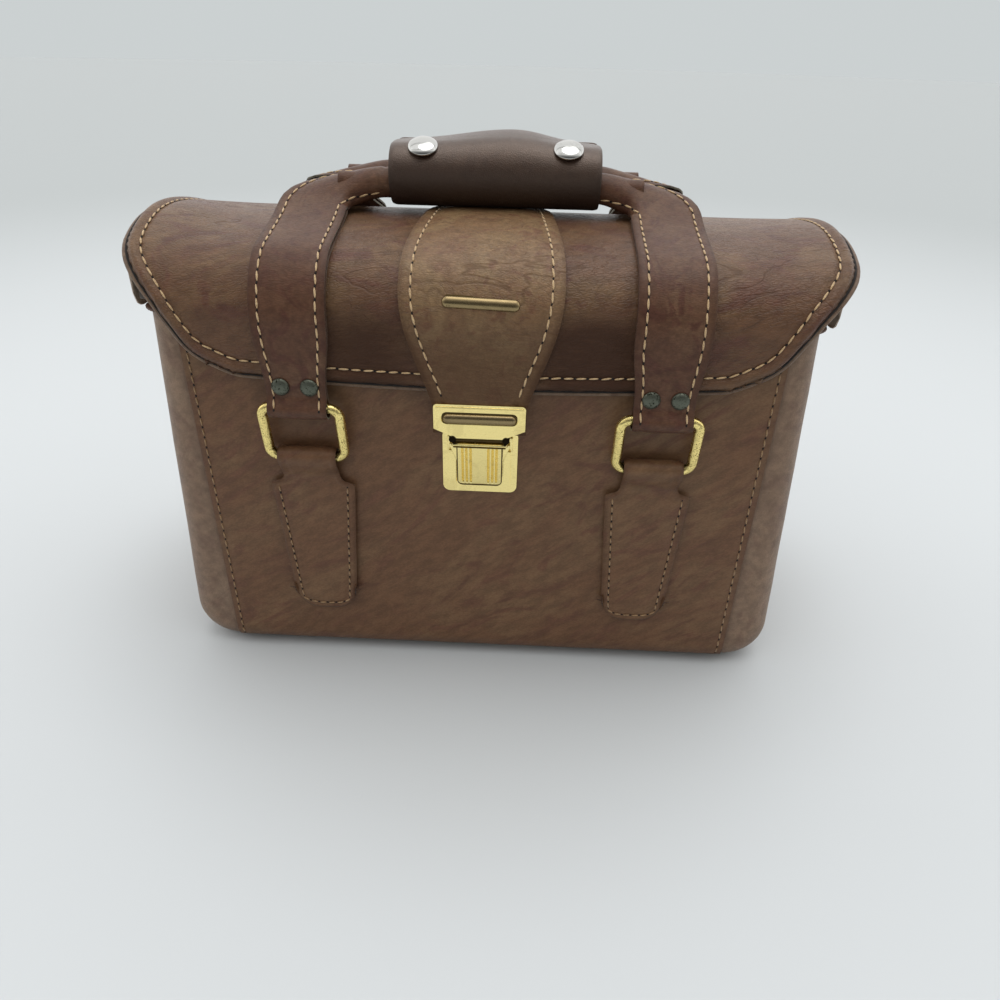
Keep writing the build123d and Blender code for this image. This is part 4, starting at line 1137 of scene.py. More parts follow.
@dataclass(frozen=True)
class HandleForm:
    """How a handle's straps run: up from the ring, over a bend, up a slope and round an elbow to the roll."""

    facing: Facing
    turn: float
    bend_radius: float = 26 * MM
    gap: float = 0.5 * MM
    layer: float = 2.0 * MM
    roll_y: float = 9.8 * MM
    roll_z: float = (GRIP_LOW.z + GRIP_HIGH.z) / 2
    loop_z: float = 133 * MM
    merge_z: float = 138.5 * MM
    elbow_radius: float = 15 * MM
    neck_radius: float = 6.3 * MM
    elbow_drop: float = 7.5 * MM
    neck_rise: float = 2.5 * MM
    neck_x: float = 39.5 * MM
    half_width: float = 14 * MM
    loop_half_width: float = 11.6 * MM
    rivet_spread: float = 5.5 * MM
    rivet_z: float = 142.5 * MM
    rivet_radius: float = 3.5 * MM
    rivet_height: float = 1.9 * MM

    @property
    def rise(self) -> float:
        """The slope's angle above level."""
        return math.pi / 2 - self.turn

    @property
    def middle_off(self) -> float:
        """Distance of the face between the two layers from the flap's line."""
        return self.gap + self.layer

    @property
    def slope_length(self) -> float:
        """Length of the slope, from the bend's end to the roll's axis."""
        end = FLAP_FRONT - self.bend_radius + (self.bend_radius + self.middle_off) * math.cos(self.turn)
        return (end - self.roll_y) / math.cos(self.rise)

    @property
    def bend_z(self) -> float:
        """Height of the bend's centre."""
        top = (self.bend_radius + self.middle_off) * math.sin(self.turn)
        return self.roll_z - self.slope_length * math.sin(self.rise) - top


STRAP_TURNS = {Facing.FRONT: math.radians(66.5), Facing.BACK: math.radians(62)}


@dataclass
class HandleStrap:
    """One strap of a handle: a folded loop round the ring, the long upright part, and its curled neck."""

    form: HandleForm
    side: Side
    outer: bool
    stitch_inset: float = 3.4 * MM
    stitch_end: float = 0.97
    ring_gap: float = 0.4 * MM
    widening: tuple[float, float] = (3 * MM, 26 * MM)
    dropping: tuple[float, float] = (-14 * MM, 4 * MM)

    def __post_init__(self) -> None:
        """Works out the lengths of the strap's stretches."""
        form = self.form
        self.off = form.gap + (2 * form.layer if self.outer else form.layer)
        self.loop_radius = WIRE_RADIUS + self.ring_gap + (form.layer if self.outer else 0.0)
        self.loop_run = math.pi * self.loop_radius if self.outer else 0.0
        self.join_run = math.hypot(form.merge_z - form.loop_z, self.loop_radius - form.layer)
        self.upright_run = form.bend_z - form.merge_z
        self.bend_run = (form.bend_radius + self.off) * form.turn
        self.slope_run = form.slope_length - form.elbow_radius
        self.elbow_run = form.elbow_radius * math.pi / 2
        self.neck_run = HARDWARE_X - form.elbow_radius - form.neck_x
        self.total = (self.loop_run + self.join_run + self.upright_run + self.bend_run + self.slope_run
                      + self.elbow_run + self.neck_run)
        self.elbow_start = self.total - self.neck_run - self.elbow_run
        self.slope_start = self.elbow_start - self.slope_run
        self.neck_end = self.total - 3 * MM

    def spine(self, run: float) -> tuple[Vector, Vector, Vector]:
        """The strap's middle line: place, outward normal and direction, for a right-hand front strap."""
        form = self.form
        bar = Vector((HARDWARE_X, -FLAP_FRONT - form.middle_off, form.loop_z))
        if self.outer and run < self.loop_run:
            angle = run / self.loop_radius
            normal = Vector((0, math.cos(angle), -math.sin(angle)))
            return bar + normal * self.loop_radius, normal, Vector((0, -math.sin(angle), -math.cos(angle)))
        run -= self.loop_run
        face_y = -FLAP_FRONT - self.off
        upright = Vector((0, 0, 1))
        out = Vector((0, -1, 0))
        if run < self.join_run:
            start = bar + out * (self.loop_radius if self.outer else -form.layer * 0.6)
            end = Vector((HARDWARE_X, face_y, form.merge_z))
            share = run / self.join_run
            place = start.lerp(end, share)
            place.y = mix(start.y, end.y, ease(0.0, 1.0, share))
            return place, out, upright
        run -= self.join_run
        if run < self.upright_run:
            return Vector((HARDWARE_X, face_y, form.merge_z + run)), out, upright
        run -= self.upright_run
        reach = form.bend_radius + self.off
        centre = Vector((HARDWARE_X, -FLAP_FRONT + form.bend_radius, form.bend_z))
        if run < self.bend_run:
            angle = run / reach
            normal = Vector((0, -math.cos(angle), math.sin(angle)))
            return centre + normal * reach, normal, Vector((0, math.sin(angle), math.cos(angle)))
        run -= self.bend_run
        normal = Vector((0, -math.cos(form.turn), math.sin(form.turn)))
        slope = Vector((0, math.sin(form.turn), math.cos(form.turn)))
        foot = centre + normal * reach
        if run < self.slope_run:
            return foot + slope * run, normal, slope
        run -= self.slope_run
        inward = Vector((-1, 0, 0))
        middle = foot + slope * self.slope_run + inward * form.elbow_radius
        if run < self.elbow_run:
            angle = run / form.elbow_radius
            arm = -inward * math.cos(angle) + slope * math.sin(angle)
            ahead = inward * math.sin(angle) + slope * math.cos(angle)
            return middle + arm * form.elbow_radius, normal, ahead
        run -= self.elbow_run
        return middle + slope * form.elbow_radius + inward * run, normal, inward

    def place(self, across: float, run: float) -> Vector:
        """A point of the strap's outer face, across -1..1, for a right-hand front strap."""
        form = self.form
        spot, normal, direction = self.spine(run)
        joined = self.loop_run + self.join_run
        width = mix(form.loop_half_width, form.half_width,
                    ease(joined + self.widening[0], joined + self.widening[1], run))
        curl = ease(self.elbow_start + self.elbow_run * 0.1, self.neck_end, run)
        full_turn = 2 * form.half_width / form.neck_radius
        turn = max(full_turn * curl, 1e-3)
        inner = 0.0 if self.outer else form.layer
        radius = 2 * width / turn - inner
        side = direction.cross(normal)
        lift = (form.neck_radius - form.layer) * curl
        angle = across * turn / 2
        drop = form.elbow_drop * ease(self.slope_start + self.dropping[0],
                                      self.elbow_start + self.dropping[1], run)
        drop -= form.neck_rise * ease(self.elbow_start + self.elbow_run * 0.3, self.neck_end, run)
        spot = spot + normal * (lift + radius * (math.cos(angle) - 1)) + side * (radius * math.sin(angle))
        return spot - Vector((0, 0, drop))

    def lie(self, across: float, along: float) -> Vector:
        """The strap's outer face, put at its own side of the case."""
        sign = self.side.value * -self.form.facing.value
        point = self.place(across * sign, along * self.total)
        point.x *= self.side.value
        point.y *= -self.form.facing.value
        return point

    def build(self) -> None:
        """Makes this layer, and the stitches if it is the outer one."""
        form = self.form
        layer = "strap" if self.outer else "strap_backing"
        place = f"{form.facing.word}_{layer}_{self.side.word}"
        relief = Relief(inset=self.stitch_inset, dip=0.35 * MM if self.outer else 0.0, round_over=0.35 * MM,
                        wave=0.1 * MM, wave_size=22 * MM, seam_width=3 * MM)
        sheet = Sheet(place + "_leather", self.lie, 26, 120, form.layer - 0.15 * MM, relief, edge_share=0.3,
                      bevel=0.35 * MM)
        body = f"{form.facing.word}_handle"
        put(sheet.build(FINISH.strap, FINISH.raw_edge), "strap_leather", body, place)
        if not self.outer:
            return
        rows = Stitching(place + "_stitches", FINISH.pale_thread, seed=11 + self.side.value)
        start = (self.loop_run + 0.5 * MM) / self.total
        inset = 1 - self.stitch_inset / form.half_width
        for sign in (-1, 1):
            rows.row(sheet.stitch_line(sign * inset, start, self.stitch_end, 120))
        rows.finish(body)
        log.info("%s done", place)


@dataclass
class Grip:
    """The leather wrap round both rolls, in two halves that meet under the handles, with its two snaps."""

    middle_x: float = 2.0 * MM
    half_length: float = 42.2 * MM
    wall: float = 2.2 * MM
    middle_y: float = 8.2 * MM
    radius: float = GRIP_HIGH.y - 9.8 * MM
    middle_z: float = (GRIP_LOW.z + GRIP_HIGH.z) / 2 - 1.6 * MM
    seam_y: float = 0.6 * MM
    tongue_y: float = 4.0 * MM
    bulge: float = 4.4 * MM
    bulge_x: float = 7 * MM
    bulge_left: float = 29 * MM
    bulge_right: float = 19 * MM
    bulge_ahead: float = 0.5
    bulge_up: float = 0.6
    bulge_start: float = 0.48
    corner: float = 5 * MM
    underlap: float = 8 * MM
    back_inset: float = 0.8 * MM
    snap_x: float = 28.8 * MM
    snap_tilt: float = math.radians(28)
    cap_along: float = 0.7
    cap_radius: float = 6.0 * MM
    cap_height: float = 2.5 * MM
    roll_half_length: float = 62 * MM
    roll_radius: float = 7.9 * MM
    roll_steps: int = 80
    neck_start: float = 33 * MM
    neck_end: float = 38 * MM
    neck_y: float = 9.8 * MM
    neck_drop: float = 3.4 * MM
    neck_radius: float = 4.1 * MM

    def section(self, run: float, seam_y: float) -> tuple[Vector, Vector]:
        """Place and normal round the front half, from a join underneath over the front to the top."""
        flat = seam_y + self.middle_y
        if run < flat:
            return Vector((0, seam_y - run, self.middle_z - self.radius)), Vector((0, 0, -1))
        arc = math.pi * self.radius
        if run < flat + arc:
            angle = (run - flat) / self.radius
            normal = Vector((0, -math.sin(angle), -math.cos(angle)))
            return Vector((0, -self.middle_y, self.middle_z)) + normal * self.radius, normal
        rest = run - flat - arc
        return Vector((0, -self.middle_y + rest, self.middle_z + self.radius)), Vector((0, 0, 1))

    @property
    def front_run(self) -> float:
        """Length round the front half."""
        return self.seam_y + self.middle_y + math.pi * self.radius + self.middle_y + self.tongue_y

    def swell(self, x: float) -> float:
        """How far the wrap bulges at x: a long rise from the left and a shorter one to the right."""
        reach = self.bulge_left if x < self.bulge_x else self.bulge_right
        return self.bulge * bell(x, self.bulge_x, reach)

    def half_length_at(self, from_end: float) -> float:
        """The wrap's half length near its rounded end corners."""
        radius = self.corner
        if from_end >= radius:
            return self.half_length
        return self.half_length - radius + math.sqrt(max(radius**2 - (radius - from_end) ** 2, 0.0))

    def bulged(self, x: float, along: float, normal: Vector) -> Vector:
        """How far the bulge moves the front half's leather, out and up."""
        bulge = self.swell(x) * ease(self.bulge_start, 1.0, along)
        return normal * bulge * self.bulge_ahead + Vector((0, 0, bulge * self.bulge_up))

    def front_lie(self, across: float, along: float) -> Vector:
        """The front half's outer face; it ends in the tongue that the snaps hold."""
        run = along * self.front_run
        spot, normal = self.section(run, self.seam_y)
        x = across * self.half_length_at(self.front_run - run)
        spot = spot + self.bulged(x, along, normal)
        spot.x = self.middle_x + x
        return spot

    def back_lie(self, across: float, along: float) -> Vector:
        """The back half's outer face; it goes up the back and under the tongue."""
        flat = self.middle_y - self.seam_y
        arc = math.pi * self.radius
        total = flat + arc + self.middle_y + self.underlap
        run = (1 - along) * total
        rest = run - flat - arc
        place = self.section(run, -self.seam_y)[0]
        place.y = -place.y
        if rest >= 0:
            over = max(rest - 2 * self.middle_y, 0.0) / self.radius
            place.z -= (self.wall + 0.1 * MM) * ease(-6 * MM, 2 * MM, rest) + 2 * MM * over
        x = across * (self.half_length - self.back_inset)
        place.z += self.swell(x) * 0.55 * ease(flat + arc * 0.6, total, run)
        place.x = self.middle_x + x
        return place

    def painted_shade(self, place: Vector) -> float:
        """Painted shade: how much darker the wrap is towards its underside, where it lies in shade."""
        return 2.4 * (1 - ease(-8 * MM, 12 * MM, place.z - self.middle_z))

    def build(self) -> None:
        """Makes both halves, the snaps and the rolls inside."""
        relief = Relief(inset=2.0 * MM, dip=0.0, round_over=0.5 * MM, wave=0.12 * MM, wave_size=16 * MM,
                        seam_width=2.5 * MM)
        front = Sheet("grip_wrap_front", self.front_lie, 60, 64, self.wall, relief, edge_share=0.3,
                      bevel=0.6 * MM, shade=self.painted_shade).build(FINISH.grip, FINISH.dark_edge)
        back = Sheet("grip_wrap_back", self.back_lie, 60, 64, self.wall, relief, edge_share=0.3,
                     bevel=0.6 * MM).build(FINISH.grip, FINISH.dark_edge)
        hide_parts("grip_wrap")
        for piece in (front, back):
            put(piece, "grip_leather", "front_handle")
        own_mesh(back)
        self.snaps()
        self.rolls()
        log.info("grip done")

    def snaps(self) -> None:
        """The two domed snap caps, each with a rolled rim."""
        tilt = Vector((0, -math.sin(self.snap_tilt), math.cos(self.snap_tilt)))
        seat = Vector((self.middle_x, -self.middle_y, self.middle_z)) + tilt * self.radius
        mesh = bmesh.new()
        for side in Side:
            x = side.value * self.snap_x
            foot = seat + self.bulged(x, self.cap_along, tilt) + Vector((x, 0, 0))
            add_dome(mesh, foot, tilt, self.cap_radius, self.cap_height)
        caps = link(mesh, "snap_domes", (FINISH.nickel,))
        put(caps, "nickel", "front_handle", "snap_caps")

    def rolls(self) -> None:
        """The leather-covered roll inside each handle, down into its necks."""
        for facing in Facing:
            line = []
            radii = []
            for step in range(self.roll_steps + 1):
                x = mix(-self.roll_half_length, self.roll_half_length, step / self.roll_steps)
                share = ease(self.neck_start, self.neck_end, abs(x))
                radii.append(mix(self.roll_radius, self.neck_radius, share))
                y = facing.value * mix(self.middle_y, self.neck_y, share)
                line.append(Vector((x, y, self.middle_z - self.neck_drop * share)))
            roll = tube(f"{facing.word}_roll", line, lambda part: radii[round(part * self.roll_steps)], 24,
                        FINISH.strap)
            put(roll, "strap_leather", f"{facing.word}_handle", f"{facing.word}_handle_roll")


def add_dome(mesh: BMesh, foot: Vector, tilt: Vector, radius: float, height: float) -> None:
    """Adds a domed cap with a rolled rim to a mesh.

    Args:
        mesh: The mesh that gets it.
        foot: The middle of the cap's underside.
        tilt: Which way the cap faces.
        radius: The cap's radius.
        height: How high it stands.
    """
    steps = 14
    turn = Vector((0, 0, 1)).rotation_difference(tilt).to_matrix().to_4x4()
    profile = [Vector((0, 0, height))]
    for step in range(1, steps):
        share = step / steps
        profile.append(Vector((radius * 0.9 * share, 0, height * (1 - 0.44 * share**2.6))))
    profile += [Vector((radius * 0.97, 0, height * 0.4)), Vector((radius, 0, height * 0.2)),
                Vector((radius * 0.96, 0, height * 0.02)), Vector((radius * 0.8, 0, 0))]
    rim = [mesh.verts.new(Matrix.Translation(foot) @ turn @ point) for point in profile]
    edges = [mesh.edges.new(pair) for pair in zip(rim, rim[1:])]
    bmesh.ops.spin(mesh, geom=rim + edges, cent=foot, axis=tilt, angle=2 * math.pi, steps=32, use_merge=True,
                   use_duplicate=False)
    close(mesh, 1e-6)


def build_rivets(form: HandleForm) -> None:
    """The domed, tarnished rivets at the foot of a handle's two straps."""
    mesh = bmesh.new()
    face_y = form.facing.value * (FLAP_FRONT + form.gap + 2 * form.layer)
    out = Vector((0, form.facing.value, 0))
    for side in Side:
        for spread in (-form.rivet_spread, form.rivet_spread):
            foot = Vector((side.value * HARDWARE_X + spread, face_y, form.rivet_z))
            add_dome(mesh, foot, out, form.rivet_radius, form.rivet_height)
    rivets = link(mesh, f"{form.facing.word}_rivet_heads", (FINISH.rivet,))
    put(rivets, "rivet", f"{form.facing.word}_handle", f"{form.facing.word}_strap_rivets")


@dataclass
class Tab:
    """A sewn tab: folded over the ring's lower bar, narrow at the fold, stitched down each side and below."""

    facing: Facing
    side: Side
    wall: float = 2.2 * MM
    ring_y: float = 69.2 * MM
    ring_z: float = 109.6 * MM
    stand: float = 3.0 * MM
    shoulder_z: float = 97.5 * MM
    neck_half_width: float = 12 * MM
    shoulder_half_width: float = 18 * MM
    bottom_half_width: float = 13.6 * MM
    bottom_z: float = 28 * MM
    bottom_sag: float = 2.2 * MM
    corner: float = 8 * MM
    stitch_inset: float = 3.2 * MM
    stitch_lift: float = 0.2 * MM
    fold_radius: float = WIRE_RADIUS + 2.1 * MM

    def path(self, run: float) -> tuple[float, float]:
        """Distance in front of the middle plane, and height, from the bottom up over the bar to the back."""
        straight = self.shoulder_z - self.bottom_z
        if run < straight:
            return PANEL_FRONT + self.stand, self.bottom_z + run
        run -= straight
        ramp = self.ring_z - self.shoulder_z
        if run < ramp:
            share = run / ramp
            return (mix(PANEL_FRONT + self.stand, self.ring_y + self.fold_radius, ease(0.0, 1.0, share)),
                    self.shoulder_z + run)
        angle = min((run - ramp) / self.fold_radius, math.pi)
        return (self.ring_y + self.fold_radius * math.cos(angle),
                self.ring_z + self.fold_radius * math.sin(angle))

    @property
    def total(self) -> float:
        """The tab's length from its bottom to the end of the fold."""
        return self.ring_z - self.bottom_z + math.pi * self.fold_radius

    def half_width(self, run: float) -> float:
        """Half the tab's width at a run from its bottom."""
        z = self.bottom_z + run
        sides = mix(self.bottom_half_width, self.shoulder_half_width,
                    (z - self.bottom_z) / (self.shoulder_z - self.bottom_z))
        rise = min(max((z - self.shoulder_z + 1.5 * MM) / (3.6 * MM), 0.0), 1.0)
        return mix(sides, self.neck_half_width, math.sqrt(1 - (1 - rise) ** 2.4))

    def lie(self, across: float, along: float) -> Vector:
        """The tab's outer face, put at its own side of the case."""
        run = along * self.total
        depth, z = self.path(run)
        sag = self.bottom_sag * across**2 * (1 - ease(0.0, 14 * MM, run))
        sign = self.side.value * -self.facing.value
        width = self.half_width(run)
        over = max(abs(across) * width - width + self.corner, 0.0)
        rounding = (self.corner - math.sqrt(self.corner**2 - over**2)) * (1 - ease(0.0, 18 * MM, run))
        x = across * sign * width
        return Vector((self.side.value * (HARDWARE_X + x), self.facing.value * depth, z + sag + rounding))

    def build(self) -> None:
        """Makes the tab and its stitches."""
        name = f"{self.facing.word}_tab_{self.side.word}"
        relief = Relief(inset=self.stitch_inset, dip=0.4 * MM, dip_width=1.0 * MM, round_over=0.7 * MM,
                        seam_width=3 * MM)
        sheet = Sheet(name + "_leather", self.lie, 30, 130, self.wall, relief, edge_share=0.2)
        piece = sheet.build(FINISH.case, FINISH.dark_edge)
        put(piece, "case_leather", "case_body", name)
        rows = Stitching(name + "_stitches", FINISH.ochre_thread, pitch=4.0 * MM, length=2.7 * MM,
                         width=0.75 * MM, seed=17)
        line = []
        top = (self.shoulder_z - self.bottom_z - 3 * MM) / self.total
        low = (self.stitch_inset + self.stitch_lift) / self.total
        for sign in (1, -1):
            leg = []
            for step in range(60):
                along = mix(top, low, step / 59)
                width = self.half_width(along * self.total)
                leg.append(sheet.on_face(sign * max(1 - self.stitch_inset / width, 0.0), along))
            line += leg if sign > 0 else leg[::-1]
            if sign > 0:
                reach = 1 - self.stitch_inset / self.half_width(self.stitch_inset)
                line += [sheet.on_face(reach * (1 - step / 12), low) for step in range(1, 24)]
        rows.row(line)
        rows.finish("case_body")
        log.info("%s done", name)


@dataclass
class Body:
    """The box: gusset round sides and base, front and back panels."""

    edge_radius: float = 12 * MM
    corner_radius: float = 20 * MM
    border: float = 21 * MM
    wall: float = 1.8 * MM
    panel_wall: float = 1.8 * MM
    stitch_inset: float = 3.0 * MM
    base_half_width: float = 140 * MM
    rim_half_width: float = 130 * MM
    dent_depth: float = 0.35 * MM
    dent_size: float = 45 * MM

    def __post_init__(self) -> None:
        """Reads the box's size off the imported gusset."""
        self.half_depth = GUSSET_HIGH.y
        self.height = GUSSET_HIGH.z

    def section(self, inset: float) -> list[Vector]:
        """The box's outline across Y, drawn in by inset: from the right rim round the base to the left."""
        slope = (self.base_half_width - self.rim_half_width) / self.height
        lean = math.sqrt(1 + slope**2)
        low_x = self.base_half_width - slope * inset - inset * lean
        high_x = self.base_half_width - slope * self.height - inset * lean
        radius = max(self.corner_radius - inset, 1.0 * MM)
        corner = rounded_corner((high_x, self.height), (low_x, inset), (-low_x, inset), radius, 12)
        side_steps, base_steps = 34, 40
        right = [Vector((high_x, self.height)).lerp(Vector(corner[0]), step / side_steps)
                 for step in range(side_steps)]
        right += [Vector(point) for point in corner]
        left = [Vector((-point.x, point.y)) for point in reversed(right)]
        base = [right[-1].lerp(left[0], step / base_steps) for step in range(1, base_steps)]
        return right + base + left

    def gusset(self) -> None:
        """The strip round the sides and base, turned onto the front and back."""
        arc = self.edge_radius * math.pi / 2
        flat = self.half_depth - self.edge_radius
        half = flat + arc + self.border
        columns = len(self.section(0.0)) - 1
        rows = 84
        mesh = grid(columns, rows)
        lines = []
        for row in range(rows + 1):
            reach = (row / rows * 2 - 1) * half
            sign = 1 if reach >= 0 else -1
            beyond = abs(reach) - flat
            if beyond <= 0:
                y, inset = reach, 0.0
            elif beyond < arc:
                angle = beyond / self.edge_radius
                y = sign * (flat + self.edge_radius * math.sin(angle))
                inset = self.edge_radius * (1 - math.cos(angle))
            else:
                y, inset = sign * self.half_depth, self.edge_radius + beyond - arc
            lines.append((y, self.section(inset)))
        seam = mesh.verts.layers.float.new("seam")
        for vertex in mesh.verts:
            column = round((vertex.co.x + 1) / 2 * columns)
            y, line = lines[round((vertex.co.y + 1) / 2 * rows)]
            point = line[column]
            spot = Vector((point.x, y, point.y))
            dent = self.dent_depth * noise.noise(spot / self.dent_size) * ease(4 * MM, 20 * MM, spot.z)
            spot.x -= math.copysign(1.0, spot.x) * abs(dent) * ease(60 * MM, 110 * MM, abs(spot.x))
            vertex.co = spot
            vertex[seam] = 0.6 * (1 - ease(0.0, 3 * MM, abs(abs(spot.x) - PANEL_HIGH.x)))
        piece = link(mesh, "gusset_leather", (FINISH.gusset, FINISH.dark_edge))
        thicken(piece, self.wall, material_offset_rim=1)
        put(piece, "gusset_leather", "case_body", "body_gusset")

    def panel(self, facing: Facing) -> None:
        """A panel sewn over the gusset's turned edges."""
        edge = self.edge_radius + self.panel_wall
        half_width = PANEL_HIGH.x

        def lie(across: float, along: float) -> Vector:
            """The panel's outer face."""
            z = mix(PANEL_LOW.z, PANEL_HIGH.z, along)
            drop = max(self.edge_radius - z, 0.0)
            back = edge - math.sqrt(edge**2 - drop**2)
            x = across * half_width * -facing.value
            return Vector((x, facing.value * (PANEL_FRONT - back), z))

        relief = Relief(inset=self.stitch_inset, dip=0.35 * MM, dip_width=1.0 * MM, round_over=0.4 * MM,
                        wave=0.08 * MM, wave_size=60 * MM, seam_width=2.5 * MM)
        sheet = Sheet(f"{facing.word}_panel_leather", lie, 90, 60, self.panel_wall, relief, edge_share=0.35)
        piece = sheet.build(FINISH.case, FINISH.dark_edge)
        put(piece, "case_leather", "case_body", f"{facing.word}_panel")
        rows = Stitching(f"{facing.word}_panel_stitches", FINISH.ochre_thread, pitch=4.7 * MM,
                         length=3.2 * MM, width=0.75 * MM, seed=23)
        inset = 1 - self.stitch_inset / half_width
        for sign in (-1, 1):
            rows.row(sheet.stitch_line(sign * inset, 0.012, 0.995, 60))
        rows.finish("case_body")
        log.info("%s panel done", facing.word)

    def build(self) -> None:
        """Makes the whole box."""
        self.gusset()
        for facing in Facing:
            self.panel(facing)


def capsule(name: str, middle: Vector, half_length: float, radius: float, flat: float,
            finish: Material, tilt: float = 0.0, lean: float = 0.0) -> Piece:
    """A bar with round ends, long along X, its depth times flat, tilted in its plane and leaned back."""
    profile = []
    for step in range(9):
        angle = math.pi / 2 * step / 8
        profile.append((-half_length + radius - radius * math.cos(angle), radius * math.sin(angle)))
    profile += [(-x, size) for x, size in reversed(profile)]
    rows = len(profile) - 1
    mesh = grid(24, rows)
    turn = Matrix.Rotation(-lean, 3, "X") @ Matrix.Rotation(tilt, 3, "Y")
    for vertex in mesh.verts:
        angle = (vertex.co.x + 1) * math.pi
        x, size = profile[round((vertex.co.y + 1) / 2 * rows)]
        vertex.co = middle + turn @ Vector((x, -size * math.cos(angle) * flat, size * math.sin(angle)))
    close(mesh)
    return link(mesh, name, (finish,))


@dataclass
class Lock:
    """The press lock: thumb piece with its bead, a near-black block behind the hasp's nose that paints the
    shade in the slot, and both bars.
    """

    half_width: float = 9.0 * MM
    wing_half_width: float = 12.3 * MM
    wing_length: float = 8.8 * MM
    bottom_z: float = SLIDER_LOW.z - 0.4 * MM
    top_z: float = 118.5 * MM
    low_proud: float = 2.0 * MM
    high_proud: float = 5.4 * MM
    corner: float = 2.3 * MM
    grooves: tuple[float, ...] = (3.6 * MM, 5.3 * MM, 6.9 * MM)
    groove_width: float = 0.3 * MM
    groove_depth: float = 0.95 * MM
    spring_turns: int = 6
    spring_wire: float = 0.2 * MM
    travel: float = 3.3 * MM
    plate_y: float = -PANEL_FRONT - 1.0 * MM
    wing_top_drop: float = 0.5 * MM
    wing_root: float = 1.5 * MM
    wing_depth: float = 3.6 * MM
    cover_x: float = 11.1 * MM
    cover_z: float = 116.9 * MM
    cover_size: Size = (4.4 * MM, 0.8 * MM, 6.2 * MM)
    block_size: Size = (20 * MM, 3.2 * MM, 5.0 * MM)
    block_off: float = 3.4 * MM
    block_rise: float = 2.3 * MM
    pin_x: float = 10.6 * MM
    pin_rise: float = 3.6 * MM
    pin_radius: float = 1.45 * MM
    pin_stops: tuple[float, float, float] = (0.0, 4 * MM, 7.9 * MM)
    bar_half_length: float = 14.9 * MM
    bar_gap: float = 0.5 * MM
    bar_drop: float = 0.22 * MM
    bar_flat: float = 0.72
    recess_flat: float = 0.12
    hasp_bar_z: float = 131.2 * MM
    strap_bar_z: float = 175 * MM
    strap_bar_lift: float = 2.4 * MM
    strap_bar_tilt: float = math.radians(1.6)

    def high_line(self, off: float, rise: float) -> Vector:
        """A place in the middle, off behind the thumb piece's highest line and rise above it."""
        return Vector((0, self.plate_y - self.high_proud + off, self.top_z + rise))

    def half_width_at(self, z: float) -> float:
        """Half the thumb piece's width, round at its lower corners."""
        width = self.half_width
        rise = z - self.bottom_z
        if rise < self.corner:
            width -= self.corner - math.sqrt(self.corner**2 - (self.corner - rise) ** 2)
        return width

    def proud(self, x: float, z: float) -> float:
        """How far the thumb piece stands off the plate: a wedge with two groups of upright grooves."""
        share = (z - self.bottom_z) / (self.top_z - self.bottom_z)
        rise = mix(self.low_proud, self.high_proud, share**0.8)
        depth = self.groove_depth * ease(0.02, 0.1, share) * (1 - ease(0.9, 0.96, share))
        return rise - sum(depth * bell(abs(x), groove, self.groove_width) for groove in self.grooves)

    def thumb(self) -> None:
        """The thumb piece, closed down to the plate round its edge."""
        mesh = grid(170, 40)
        for vertex in mesh.verts:
            u, v = vertex.co.x, (vertex.co.y + 1) / 2
            z = mix(self.bottom_z, self.top_z, min(max((v - 0.04) / 0.92, 0.0), 1.0))
            x = math.copysign(min(abs(u) / 0.97, 1.0), u) * self.half_width_at(z)
            drop = min(max((abs(u) - 0.97) / 0.03, (0.04 - v) / 0.04, (v - 0.96) / 0.04, 0.0), 1.0)
            vertex.co = Vector((x, self.plate_y - self.proud(x, z) * (1 - drop), z))
        thumb = link(mesh, "lock_thumb", (FINISH.brass,))
        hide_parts("lock_slider")
        bead = capsule("lock_bead", self.high_line(0.0, 0.5 * MM), 11.4 * MM, 0.85 * MM, 1.7, FINISH.brass)
        # Painted shade: a dark bar for the shadow in the slot above the thumb piece.
        slot = capsule("lock_slot", self.high_line(0.4 * MM, 2.1 * MM), 10.4 * MM, 0.85 * MM, 0.8,
                       FINISH.recess)
        for piece in (thumb, bead, slot, self.wings(), *self.lines()):
            put(piece, "brass", "lock_slider")

    def lines(self) -> tuple[Piece, Piece]:
        """Painted shade: dark lines for the shadow in the gap round the thumb piece's face and in the groove
        under its bead.
        """
        steps = 12
        highest = self.top_z - self.bottom_z - 1.2 * MM
        rises = [self.corner * (step / steps) ** 2 for step in range(steps)]
        rises += [mix(self.corner, highest, step / steps) for step in range(steps + 1)]
        right = []
        for rise in rises:
            z = self.bottom_z + rise
            width = self.half_width_at(z) + 0.05 * MM
            right.append(Vector((width, self.plate_y - self.proud(width, z) + 0.1 * MM, z - 0.1 * MM)))
        left = [Vector((-place.x, place.y, place.z)) for place in reversed(right)]
        gap = tube("lock_gap", left + right, lambda share: 0.24 * MM, 10, FINISH.recess)
        groove = capsule("lock_groove", self.high_line(0.1 * MM, -1.0 * MM), 10.6 * MM, 0.3 * MM, 1.0,
                         FINISH.recess)
        return gap, groove

